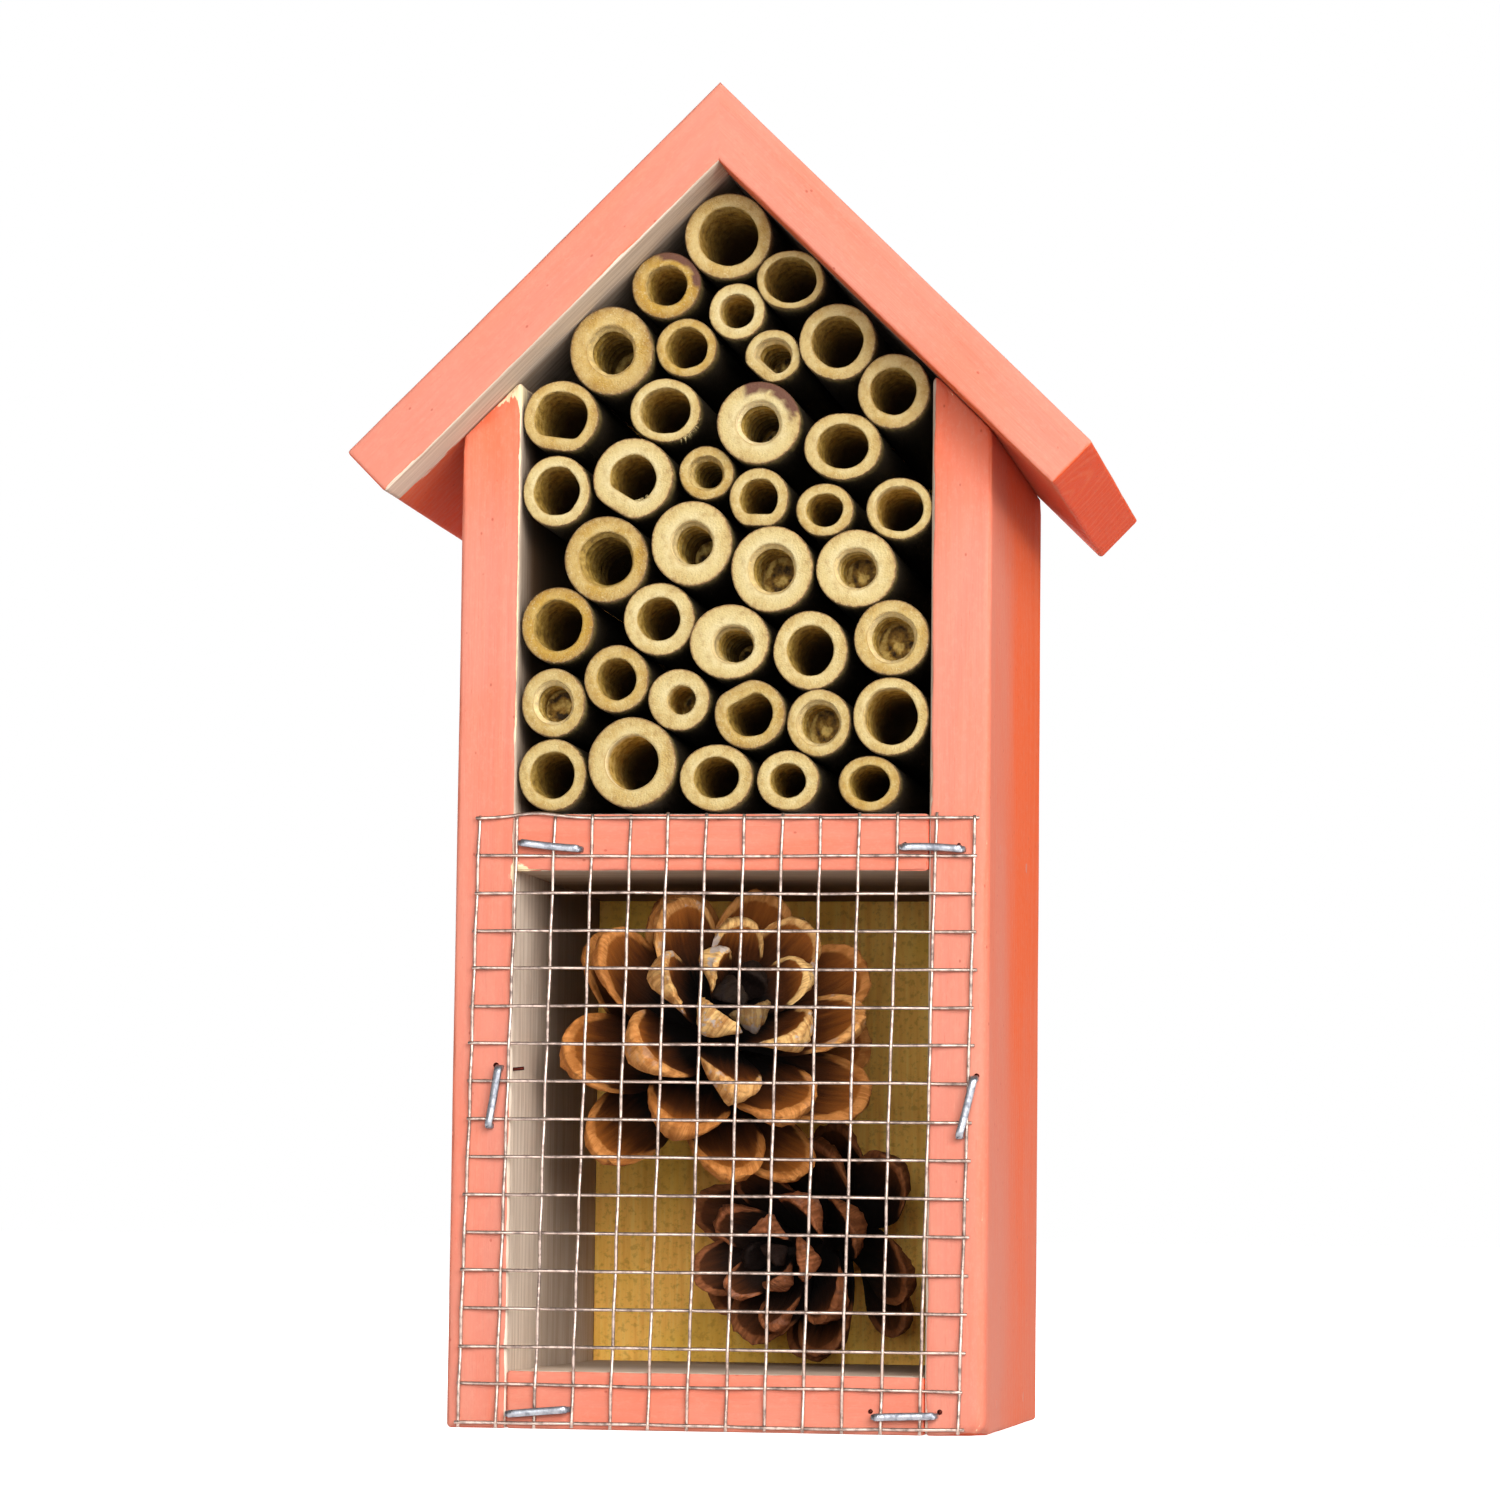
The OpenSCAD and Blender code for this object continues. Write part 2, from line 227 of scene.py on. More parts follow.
def painted_wood():
    """Thin coral paint on softwood. Z is the grain, and the rings lie round Z.

    Masks: bare is unpainted wood, deep is where the paint is more saturated,
    on end grain and at random, and as painted shade near and under the roof and
    towards the rear of the outer faces, worn is how exposed an edge is, and the
    last mask is painted shade: the board darker and browner deeper inside the
    house, on its lower faces and under the eaves.
    """
    m = Material("painted_wood")
    wobble = m.noise(0.05, 2.0, stretch=(1, 1, 0.2))
    flat = m.node("SeparateXYZ", m.position())
    flat = m.node("CombineXYZ", flat.outputs[0], flat.outputs[1], 0.0).outputs[0]
    radius = m.node("VectorMath", flat, operation="LENGTH").outputs["Value"]
    distance = m.plus(radius, m.times(wobble, 9.0))
    rings = m.span(m.math("SINE", m.times(distance, TURN / RING_SPACING)), -0.6, 1.0)
    fibre = m.noise(1.5, 5.0, 0.6, (1, 1, 0.035))
    pores = m.noise(4.0, 3.0, 0.6, (1, 1, 0.1))
    blotch = m.noise(0.07, 3.0, 0.55, (1, 1, 0.45))
    mottle = m.noise(1.3, 4.0, 0.7, (1, 1, 0.6))
    # deep: more saturated paint, on end grain and at random, and as painted shade near and under the roof
    # and towards the rear of the outer faces
    deep = m.plus(m.mask("deep"), m.span(blotch, 0.4, 0.72, 0.0, 0.2), clamp=True)
    deep = m.plus(deep, m.times(m.span(fibre, 0.35, 0.75), 0.10), clamp=True)
    coral = m.mix(deep, (207, 128, 109), (228, 94, 42))
    sawn = m.span(m.math("ABSOLUTE", m.normal(2)), 0.7, 0.95)
    coral = m.mix(m.times(rings, 0.08), coral, (220, 154, 126))
    coral = m.mix(m.times(sawn, 0.9), coral, (232, 72, 20))
    arcs = m.span(m.math("SINE", m.times(distance, TURN / ARC_SPACING)), 0.3, 1.0)
    coral = m.mix(m.times(arcs, m.times(sawn, 0.4)), coral, (238, 110, 62))
    coral = m.mix(m.span(mottle, 0.45, 0.7, 0.0, 0.2), coral, (214, 152, 130))
    coral = m.mix(m.span(pores, 0.6, 0.8, 0.0, 0.3), coral, (182, 72, 48))
    specks = m.span(m.spots(0.33, (1, 1, 0.7)), 0.03, 0.09, 1.0, 0.0)
    coral = m.mix(m.times(specks, 0.5), coral, (150, 48, 34))
    # Painted shade: the paint goes darker and browner where the last mask is high, deeper in the house, on
    # lower faces and under the eaves
    coral = m.mix(m.mask("dirt"), coral, (96, 40, 20))
    wood = m.ramp(fibre, (0.25, (194, 172, 152)), (0.5, (228, 208, 188)), (0.75, (242, 226, 208)))
    wood = m.mix(m.times(rings, 0.2), wood, (176, 150, 122))
    # The same painted shade on the bare wood
    wood = m.mix(m.mask("dirt"), wood, (100, 70, 42))
    raw = m.ramp(fibre, (0.3, (214, 186, 140)), (0.7, (250, 232, 196)))
    ragged = m.noise(0.9, 4.0, 0.65, (1, 1, 0.25))
    ragged = m.times(m.math("SUBTRACT", ragged, 0.5), 1.1)
    bare = m.span(m.plus(m.mask("bare"), ragged), 0.45, 0.6)
    worn = m.span(m.plus(m.mask("worn"), m.times(ragged, 1.3)), 0.72, 0.86)
    colour = m.mix(bare, coral, wood)
    colour = m.mix(worn, colour, raw)
    roughness = m.span(bare, 0.0, 1.0, 0.7, 0.88)
    heights = [(fibre, 0.10), (rings, 0.03), (bare, -0.05)]
    return m.finish(colour, roughness, heights, Specular_IOR_Level=0.1)


def plywood():
    """Bare yellow-brown plywood with its grain along Z, paler on the outside."""
    m = Material("plywood")
    fibre = m.noise(1.0, 6.0, 0.62, (1, 1, 0.05))
    figure = m.noise(0.09, 3.0, 0.5, (1, 1, 0.18), 1.2)
    stain = m.noise(0.045, 2.0, 0.5)
    speckle = m.noise(0.9, 5.0, 0.7)
    colour = m.ramp(fibre, (0.25, (240, 170, 76)), (0.5, (255, 198, 96)), (0.78, (255, 218, 122)))
    colour = m.mix(m.span(figure, 0.45, 0.62, 0.0, 0.4), colour, (200, 138, 62))
    colour = m.mix(m.span(stain, 0.42, 0.65, 0.0, 0.55), colour, (226, 184, 64))
    colour = m.mix(m.span(speckle, 0.5, 0.64, 0.0, 0.45), colour, (184, 132, 50))
    outside = m.span(m.normal(1), 0.6, 0.9)
    colour = m.mix(m.times(outside, 0.55), colour, (226, 190, 140))
    return m.finish(colour, 0.82, [(fibre, 0.12), (speckle, 0.06)], Specular_IOR_Level=0.3)


def bamboo():
    """Sawn cane. Masks: wall runs from 0 at the bore to 1 at the skin on the
    sawn end, skin is how far along the outside, which darkens it as painted
    shade between the canes, bore is how far inside, which darkens it as painted
    shade, plug marks the natural wall, furrow is between the ribs of the bore,
    darkened as painted shade, and tone, light and stain differ from cane to
    cane: how brown its end is, how light its bore is, and where it is stained.
    In canes with a light bore, its first millimetres are paler, as painted light."""
    m = Material("bamboo")
    tone = m.mask("tone")
    patch = m.noise(0.28, 3.0, 0.6)
    uneven = m.math("SUBTRACT", m.noise(1.1, 3.0), 0.5)
    wall = m.plus(m.mask("wall"), m.times(uneven, 0.3))
    pale = m.ramp(wall, (0.0, (208, 184, 128)), (0.12, (232, 212, 156)), (0.6, (222, 198, 134)),
                  (0.84, (212, 184, 120)), (0.94, (188, 152, 94)), (1.0, (126, 94, 54)))
    tan = m.ramp(wall, (0.0, (172, 132, 46)), (0.2, (196, 154, 54)), (0.6, (182, 138, 42)),
                 (0.86, (162, 120, 42)), (0.98, (104, 74, 34)))
    end = m.mix(m.plus(tone, m.span(patch, 0.35, 0.7, -0.2, 0.25), clamp=True), pale, tan)
    bundles = m.spots(3.2, (1, 0.3, 1))
    end = m.mix(m.span(bundles, 0.06, 0.26, 0.5, 0.0), end, (138, 98, 48))
    dust = m.noise(2.6, 4.0, 0.7)
    end = m.mix(m.span(dust, 0.52, 0.72, 0.0, 0.5), end, (240, 222, 172))
    grime = m.noise(0.55, 5.0, 0.65)
    end = m.mix(m.span(grime, 0.5, 0.74, 0.0, 0.35), end, (156, 120, 68))
    end = m.mix(m.mask("stain"), end, (104, 62, 44))
    end = m.mix(0.31, end, (66, 50, 36))
    streak = m.noise(1.3, 4.0, 0.6, (1, 0.05, 1))
    skin = m.ramp(streak, (0.3, (70, 58, 32)), (0.55, (116, 98, 56)), (0.8, (150, 130, 78)))
    # Painted shade: the skin darker further along the outside, between the canes
    skin = m.mix(m.span(m.mask("skin"), 0.0, 0.9), skin, (46, 37, 24))
    weave = m.noise(0.9, 4.0, 0.6, (1, 0.5, 1))
    inner = m.ramp(weave, (0.3, (112, 84, 22)), (0.52, (178, 142, 58)), (0.75, (212, 182, 104)))
    light = m.ramp(weave, (0.3, (160, 122, 40)), (0.52, (222, 184, 92)), (0.75, (246, 222, 150)))
    inner = m.mix(m.mask("light"), inner, light)
    # Painted light: the first millimetres of a light bore paler, where light falls into it
    mouth = m.times(m.span(m.mask("bore"), 0.1, 0.14, 0.45, 0.0), m.mask("light"))
    inner = m.mix(mouth, inner, (246, 232, 194))
    # Painted shade in the furrows between the ribs
    inner = m.mix(m.times(m.mask("furrow"), 0.75), inner, (78, 54, 14))
    # Painted shade: the bore darker the deeper in
    inner = m.mix(m.span(m.mask("bore"), 0.1, 1.0), inner, (96, 66, 14))
    place = m.node("SeparateXYZ", m.position())
    squares = [m.math("POWER", place.outputs[axis], 2.0) for axis in (0, 2)]
    reach = m.math("POWER", m.plus(*squares), 0.5)
    swirl = m.plus(m.times(reach, 2.2), m.times(m.noise(0.24, 2.0, 0.5), 15.0))
    lumps = m.mix(0.4, m.noise(0.6, 5.0, 0.65), m.span(m.math("SINE", swirl), -1.0, 1.0, 0.3, 0.7))
    plug = m.ramp(lumps, (0.36, (50, 33, 8)), (0.5, (146, 108, 40)), (0.64, (214, 182, 100)))
    colour = m.mix(m.span(m.mask("skin"), 0.0, 0.1), end, skin)
    colour = m.mix(m.span(m.mask("bore"), 0.0, 0.05), colour, inner)
    colour = m.mix(m.mask("plug"), colour, plug)
    roughness = m.span(m.mask("skin"), 0.0, 0.2, 0.74, 0.48)
    return m.finish(colour, roughness, [(bundles, 0.08), (streak, 0.08), (grime, 0.08), (dust, 0.05)],
                    Specular_IOR_Level=0.35)


def cone_wood(name, deep, body, lip, fresh, resin):
    """Pine cone scales. Masks: along and across are the place on a scale and
    own its number, rim is its raised lip, young is near the cone's tip, and
    shade is painted shade, which differs from scale to scale. Towards a scale's
    claw its colour goes through deep to near black, as painted shade deep in
    the cone. resin is how much of it has run."""
    m = Material(name)
    on_scale = m.node("CombineXYZ", m.times(m.mask("across"), 3.2), m.mask("along"), m.mask("own"))
    streak = m.noise(2.2, 5.0, 0.65, place=on_scale.outputs[0])
    fine = m.noise(3.2, 4.0, 0.65)
    uneven = m.math("SUBTRACT", streak, 0.5)
    along = m.plus(m.mask("along"), m.times(uneven, 0.35))
    # Painted shade: near black at the claw, deep in the cone, through deep to body towards the lip
    colour = m.ramp(along, (0.44, (10, 6, 4)), (0.7, deep), (0.96, body))
    rim = m.span(m.plus(m.mask("rim"), m.times(uneven, 0.8)), 0.35, 0.7)
    edge = m.mix(m.mask("young"), lip, fresh)
    edge = m.mix(m.span(streak, 0.42, 0.62, 0.0, 0.6), edge, body)
    edge = m.mix(m.span(m.noise(0.35, 3.0, 0.6), 0.48, 0.62, 0.0, 0.5), edge, body)
    colour = m.mix(rim, colour, edge)
    runs = m.times(m.span(m.noise(0.22, 4.0, 0.65), 0.56, 0.62), m.mask("young"))
    runs = m.times(runs, m.span(rim, 0.3, 0.9))
    colour = m.mix(m.times(runs, resin), colour, (196, 186, 184))
    # Painted shade from the shade mask
    colour = m.mix(m.mask("shade"), colour, (24, 13, 9))
    colour = m.mix(m.span(fine, 0.55, 0.8, 0.0, 0.35), colour, (56, 30, 18))
    return m.finish(colour, 0.66, [(streak, 0.5), (fine, 0.15)], Specular_IOR_Level=0.15)


def steel(name, colour, dull, rough):
    """Zinc-coated steel with a cloudy surface and fine scratches. Mask: rust is
    where the zinc is gone and the steel has rusted; on the leg that comes
    through the left side board it also stands for painted shade."""
    m = Material(name)
    cloud = m.noise(0.8, 4.0, 0.6)
    scratch = m.noise(5.0, 3.0, 0.7, (1, 1, 0.2))
    shade = m.mix(m.span(cloud, 0.4, 0.7), colour, dull)
    shade = m.mix(m.span(scratch, 0.62, 0.75, 0.0, 0.3), shade, (240, 240, 238))
    shade = m.mix(m.mask("rust"), shade, (70, 22, 14))
    roughness = m.span(cloud, 0.3, 0.7, rough - 0.1, rough + 0.14)
    return m.finish(shade, roughness, [(scratch, 0.02), (cloud, 0.03)], Metallic=0.9)


def floor_material():
    m = Material("floor")
    return m.finish(m.mix(m.noise(0.01, 2.0), (250, 250, 250), (253, 253, 253)), 0.9,
                    Specular_IOR_Level=0.1, Emission_Color=(1, 1, 1, 1), Emission_Strength=0.92)


PAINTED = painted_wood()
PLYWOOD = plywood()
BAMBOO = bamboo()
LARGE_CONE = cone_wood("cone_brown", (84, 42, 13), (166, 94, 33), (226, 150, 80), (255, 208, 134), 0.8)
SMALL_CONE = cone_wood("cone_dark", (38, 19, 9), (96, 52, 24), (156, 94, 54), (184, 112, 72), 0.1)
MESH_STEEL = steel("mesh_steel", (188, 168, 156), (122, 106, 98), 0.38)
STAPLE_STEEL = steel("staple_steel", (158, 160, 166), (106, 108, 116), 0.36)
PLATE_STEEL = steel("plate_steel", (190, 192, 198), (132, 134, 140), 0.38)
NAIL_STEEL = steel("nail_steel", (150, 148, 146), (96, 92, 90), 0.45)


# ------------------------------------------------------- mesh helpers

class Shape:
    """Points, faces and per-point masks of one piece."""

    def __init__(self, *masks):
        self.points = []
        self.faces = []
        self.masks = {name: [] for name in masks}

    def point(self, place, **values):
        self.points.append(Vector(place))
        for name, held in self.masks.items():
            held.append(values.get(name, 0.0))
        return len(self.points) - 1

    def join(self, first, second, closed=True):
        """Quads between two equally long rows of points."""
        count = len(first)
        for k in range(count if closed else count - 1):
            after = (k + 1) % count
            self.faces.append((first[k], first[after], second[after], second[k]))

    def cap(self, row, centre, flip=False):
        """Triangles from a closed row of points to one in its middle."""
        for k, here in enumerate(row):
            after = row[(k + 1) % len(row)]
            self.faces.append((after, here, centre) if flip else (here, after, centre))


def show(name, mesh, material, slot, *nodes):
    """Puts a finished mesh in the scene in place of CAD nodes."""
    bm = bmesh.new()
    bm.from_mesh(mesh)
    bmesh.ops.recalc_face_normals(bm, faces=bm.faces)
    bm.to_mesh(mesh)
    bm.free()
    mesh.polygons.foreach_set("use_smooth", [True] * len(mesh.polygons))
    mesh.materials.append(material)
    piece = bpy.data.objects.new(name, mesh)
    bpy.context.scene.collection.objects.link(piece)
    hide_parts(*nodes)
    return piece


def show_shape(name, shape, material, slot, *nodes):
    mesh = bpy.data.meshes.new(name)
    mesh.from_pydata(shape.points, [], shape.faces)
    for mask, values in shape.masks.items():
        write_mask(mesh, mask, values)
    piece = show(name, mesh, material, slot, *nodes)
    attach(piece, "root")
    return piece


def write_mask(mesh, name, values):
    mesh.attributes.new(name, "FLOAT", "POINT").data.foreach_set("value", values)


def lump(place, size, seed):
    """Smooth noise from -1 to 1 with features of about size millimetres."""
    return noise.noise(Vector(place) / (size * MM) + Vector((seed, -seed, 2 * seed)))


def smoothstep(low, high, value):
    t = min(max((value - low) / (high - low), 0.0), 1.0)
    return t * t * (3 - 2 * t)


# ------------------------------------------------------------- boards

# Where a board is cut into rows near each of its faces, and between them
EDGE_ROWS = [0.3 * MM, 0.7 * MM, 1.2 * MM, 1.9 * MM, 2.8 * MM]
FIELD_ROW = 3.2 * MM
SHARP_ANGLE = math.radians(50)
# How far a square edge stands out past a rounded one, as a share of its radius
EDGE_EXCESS = 0.414


def cuts(low, high):
    """Row places from low to high: close together near both ends."""
    rows = [low + d for d in EDGE_ROWS] + [high - d for d in EDGE_ROWS]
    inner = high - low - 2 * EDGE_ROWS[-1]
    count = max(int(inner / FIELD_ROW), 1)
    rows += [low + EDGE_ROWS[-1] + inner * k / count for k in range(1, count)]
    return sorted(r for r in rows if low < r < high)


def board(name, corners, place, masks, slot="painted_wood", material=PAINTED, radius=lambda at: 0.8 * MM,
          sharp=(), bow=0.12, chips=0.5, seed=1.0, still=lambda at: 0.0):
    """A worn board from the front to the rear of a CAD node's box.

    corners is its convex side as X and Z of the row frame, and sharp lists the
    edges of it that stay square. place is the matrix from the board's own axes,
    where Z is the grain. At a point of the row frame, radius gives how round
    the edges are, still how far the board keeps its plain shape, and masks,
    with the normal too, gives the masks.
    """
    low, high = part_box(name)
    y_low, y_high = (y - place.translation.y for y in (low.y, high.y))
    outline = [(p.x, p.z) for p in (place.inverted() @ Vector((x, 0, z)) for x, z in corners)]
    bm = bmesh.new()
    front = [bm.verts.new((x, y_low, z)) for x, z in outline]
    back = [bm.verts.new((x, y_high, z)) for x, z in outline]
    bm.faces.new(front)
    bm.faces.new(list(reversed(back)))
    count = len(outline)
    for k in range(count):
        after = (k + 1) % count
        bm.faces.new((front[k], back[k], back[after], front[after]))
    across, along = zip(*outline)
    for axis, reaches in enumerate((across, (y_low, y_high), along)):
        normal = Vector([float(k == axis) for k in range(3)])
        for row in cuts(min(reaches), max(reaches)):
            bmesh.ops.bisect_plane(bm, geom=bm.verts[:] + bm.edges[:] + bm.faces[:],
                                   plane_co=normal * row, plane_no=normal)
    bmesh.ops.recalc_face_normals(bm, faces=bm.faces)
    planes = [(Vector((0, -1, 0)), -y_low), (Vector((0, 1, 0)), y_high)]
    middle = Vector((sum(across) / count, 0, sum(along) / count))
    joints = []
    for k in range(count):
        a, b = outline[k], outline[(k + 1) % count]
        normal = Vector((b[1] - a[1], 0, a[0] - b[0])).normalized()
        start = Vector((a[0], 0, a[1]))
        if normal.dot(middle - start) > 0:
            normal.negate()
        (joints if k in sharp else planes).append((normal, normal.dot(start)))
    worn = []
    for vert in bm.verts:
        at = vert.co.copy()
        round_by = radius(place @ at)
        core = at.copy()
        for _ in range(3):
            for normal, reach in planes:
                over = normal.dot(core) - (reach - round_by)
                if over > 0:
                    core -= normal * over
        away = at - core
        exposed = 0.0
        if away.length > 1e-9:
            exposed = min(max(away.length / round_by - 1, 0) / EDGE_EXCESS, 1.0)
            at = core + away.normalized() * min(away.length, round_by)
            rough = max(lump(at, 5, seed), 0) * exposed * chips
            rough += max(lump(at, 1.4, seed + 3) - 0.25, 0) * exposed * chips * 0.8
            change = (lump(at, 22, seed) - 0.7) * bow * 0.5 - rough
            at += away.normalized() * change * (1 - still(place @ vert.co)) * MM
        for normal, reach in joints:
            at -= normal * max(normal.dot(at) - reach, 0)
        vert.co = at
        worn.append(exposed)
    mesh = bpy.data.meshes.new(name)
    bm.normal_update()
    for edge in bm.edges:
        edge.smooth = edge.calc_face_angle(0) < SHARP_ANGLE
    turned = place.to_3x3()
    values = [masks(place @ v.co, turned @ v.normal) for v in bm.verts]
    bm.to_mesh(mesh)
    bm.free()
    for mask in ("bare", "deep", "dirt"):
        write_mask(mesh, mask, [v.get(mask, 0.0) for v in values])
    write_mask(mesh, "worn", [min(e * 0.55 + v.get("worn", 0.0), 1.2) for e, v in zip(worn, values)])
    piece = show(name, mesh, material, slot, name)
    piece.matrix_world = place
    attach(piece, "root")


def upright_place(pith_x, pith_y):
    """The grain runs up. The heart of the tree is at pith_x, pith_y."""
    return Matrix.Translation((pith_x * MM, pith_y * MM, 0))


def level_place(pith_y, pith_z):
    """The grain runs along X."""
    return Matrix.Translation((0, pith_y * MM, pith_z * MM)) @ Matrix.Rotation(math.pi / 2, 4, "Y")


def behind(at, low, high):
    """From 0 to 1 between two distances in millimetres behind the front edges."""
    return smoothstep(FRONT_Y + low * MM, FRONT_Y + high * MM, at.y)


def side_masks(side):
    """Inner face bare. Painted shade: deeper paint near the roof and towards the
    rear of the outer face, more so higher up, and the bare inner face darker and
    browner deeper in, most of all in the upper room. The left board is torn at
    its top corner and below the shelf."""
    def masks(at, normal):
        bare = smoothstep(0.35, 0.8, -side * normal.x)
        # Painted shade: more saturated paint under the roof and towards the rear of the outer face
        deep = 0.45 * smoothstep(left_side_high.z - 34 * MM, left_side_high.z - 6 * MM, at.z)
        outside = smoothstep(0.3, 0.8, side * normal.x)
        height = 0.6 + 0.4 * smoothstep(25 * MM, 90 * MM, at.z)
        deep += outside * (0.22 + 0.68 * behind(at, 16, 46)) * height
        # Painted shade on the bare inner face: darker deeper in, strongest in the upper room
        if at.z > SHELF_TOP:
            dirt = 0.5 + 0.45 * behind(at, 1, 12)
        else:
            dirt = 0.8 * behind(at, 10, 40)
            dirt *= 0.65 + 0.35 * smoothstep(25 * MM, 80 * MM, at.z)
        dirt *= bare
        worn = 0.0
        if side < 0:
            corner = Vector((-SIDE_X, FRONT_Y, left_side_high.z))
            torn = Vector((-SIDE_X, FRONT_Y, SHELF_TOP - BOARD_T))
            worn = 0.9 * smoothstep(3 * MM, 1 * MM, (at - torn).length)
            worn += 1.2 * smoothstep(7 * MM, 1.5 * MM, (at - corner).length)
            edge = smoothstep(1.2 * MM, 0.4 * MM, abs(at.x - corner.x))
            worn += 0.45 * edge * smoothstep(100 * MM, 120 * MM, at.z)
        return dict(bare=bare, deep=deep, worn=worn, dirt=dirt)
    return masks


def side_board(name, side, pith):
    low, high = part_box(name)
    inner, outer = side * SIDE_X, side * OUTER_X
    eave = high.z - (OUTER_X - SIDE_X) * math.tan(ROOF_PITCH)
    corners = [(inner, low.z), (outer, low.z), (outer, eave), (inner, high.z)]

    def radius(at):
        outer_front = abs(at.x) > OUTER_X - 4 * MM and at.y < FRONT_Y + 4 * MM
        if side > 0 and outer_front:
            return (1.0 + 1.6 * smoothstep(140 * MM, 20 * MM, at.z)) * MM
        return 0.7 * MM

    board(name, corners, upright_place(*pith), side_masks(side), radius=radius, seed=3 + side)


def level_masks(z_low, z_high):
    """Front face painted, upper and lower faces bare, with painted shade on these:
    darker deeper in, and more on the downward faces.
    """
    def masks(at, normal):
        bare = smoothstep(0.45, 0.8, abs(normal.z)) * smoothstep(-0.8, -0.4, normal.y)
        chip = Vector((-SIDE_X + 1 * MM, FRONT_Y, z_low))
        worn = 0.9 * smoothstep(3 * MM, 1 * MM, (at - chip).length) if z_low > BOARD_T else 0.0
        if z_low < 1 * MM and normal.z < 0:
            bare = 0.0
        # Painted shade: the bare faces darker deeper in, and more on their downward faces
        dirt = 0.6 * bare * behind(at, 4, 40)
        dirt += bare * smoothstep(0.5, 0.8, -normal.z) * 0.35
        return dict(bare=bare, deep=0.12, worn=worn, dirt=dirt)
    return masks


def level_board(name, pith):
    low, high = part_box(name)
    corners = [(low.x, low.z), (high.x, low.z), (high.x, high.z), (low.x, high.z)]
    board(name, corners, level_place(*pith), level_masks(low.z, high.z),
          radius=lambda at: 0.5 * MM, bow=0.08, seed=low.z * 900)


def slope_axes(side):
    """Down a roof board's slope, and out of its top face."""
    across, upward = math.sin(ROOF_PITCH), math.cos(ROOF_PITCH)
    return Vector((side * upward, 0, -across)), Vector((side * across, 0, upward))


def roof_masks(side):
    """Deep paint on the end grain, and as painted shade below, and bare wood
    inside. The left board has a bare strip under its front overhang. Painted
    shade also darkens the lower face inside the house and under the eaves next
    to the side boards."""
    down, out = slope_axes(side)

    def masks(at, normal):
        under = smoothstep(0.35, 0.8, -normal.dot(out)) * smoothstep(0.2, 0.5, -normal.z)
        beyond = smoothstep(OUTER_X - 2 * MM, OUTER_X, abs(at.x))
        overhang = behind(at, 1, -1.5)
        inside = (1 - beyond) * (1 - overhang)
        bare = under * max(inside, overhang if side < 0 else 0.0)
        end = smoothstep(0.5, 0.9, normal.dot(down))
        # Painted shade: the lower face darker inside the house and under the eaves next to the side boards
        eave_shade = smoothstep(OUTER_X + 15 * MM, OUTER_X + 2 * MM, abs(at.x))
        dirt = under * max(0.6 * inside, 0.12 * eave_shade * (1 - inside))
        # Deep paint on end grain, and as painted shade on the lower face
        return dict(bare=bare, deep=max(end, 0.7 * under), dirt=dirt)
    return masks


def roof_board(name, side, pith):
    """pith is how far the tree's heart lies below the top face and behind the middle."""
    low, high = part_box(name)
    down, out = slope_axes(side)
    ridge = Vector((0, 0, high.z))
    heart = Vector((0, pith[1] * MM, high.z)) - out * pith[0] * MM
    place = Matrix.Translation(heart) @ Matrix.Rotation(side * (math.pi / 2 + ROOF_PITCH), 4, "Y")
    eave = ridge + down * max(abs(low.x), abs(high.x)) / math.cos(ROOF_PITCH)
    inner_ridge = Vector((0, 0, high.z - BOARD_T / math.cos(ROOF_PITCH)))
    corners = [(c.x, c.z) for c in (ridge, eave, eave - out * BOARD_T, inner_ridge)]
    board(name, corners, place, roof_masks(side), radius=lambda at: 0.6 * MM, sharp=(3,), chips=0.35,
          seed=7 + side, still=lambda at: smoothstep(7 * MM, 2 * MM, abs(at.x)))


side_board("left_side", -1, (-70, 20))
side_board("right_side", 1, (62, 40))
level_board("floor_board", (30, -24))
level_board("middle_shelf", (-8, 128))
roof_board("roof_left", -1, (22, 10))
roof_board("roof_right", 1, (12, -26))


def back_panel():
    low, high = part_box("back_panel")
    shoulder = high.z - SIDE_X * math.tan(ROOF_PITCH)
    corners = [(low.x, low.z), (high.x, low.z), (high.x, shoulder), (0, high.z), (low.x, shoulder)]
    board("back_panel", corners, upright_place(-12, 18), lambda at, normal: {},
          slot="plywood", material=PLYWOOD, radius=lambda at: 0.2 * MM, bow=0.05, chips=0.1, seed=12)


back_panel()


# ------------------------------------------------------- bamboo tubes

CANE_SIDES = 60

# How wide each cane is for its height, and how brown its end is, counted from
# the ridge down
WIDTHS = [
    1.01, 1.03, 1.12, 1.0, 0.95, 1.04, 1.0, 1.06, 0.96, 1.03, 1.1, 1.02, 1.14,
    0.95, 1.0, 1.03, 0.97, 1.08, 1.07, 0.97, 0.95, 0.95, 1.03, 0.95, 0.98, 1.06,
    0.94, 0.98, 0.94, 0.97, 1.0, 1.04, 0.96, 0.96, 0.95, 0.99, 1.1, 1.05, 1.12,
]
TONES = [
    0.55, 0.9, 0.5, 0.05, 0.7, 0.7, 0.45, 0.3, 0.5, 0.6, 0.25, 0.05, 0.35,
    0.1, 0.0, 0.6, 0.4, 0.4, 0.35, 0.75, 0.1, 0.0, 0.15, 1.0, 0.2, 0.0,
    0.3, 0.55, 0.5, 0.6, 0.25, 0.65, 0.45, 0.3, 0.4, 0.4, 0.3, 0.25, 0.65,
]
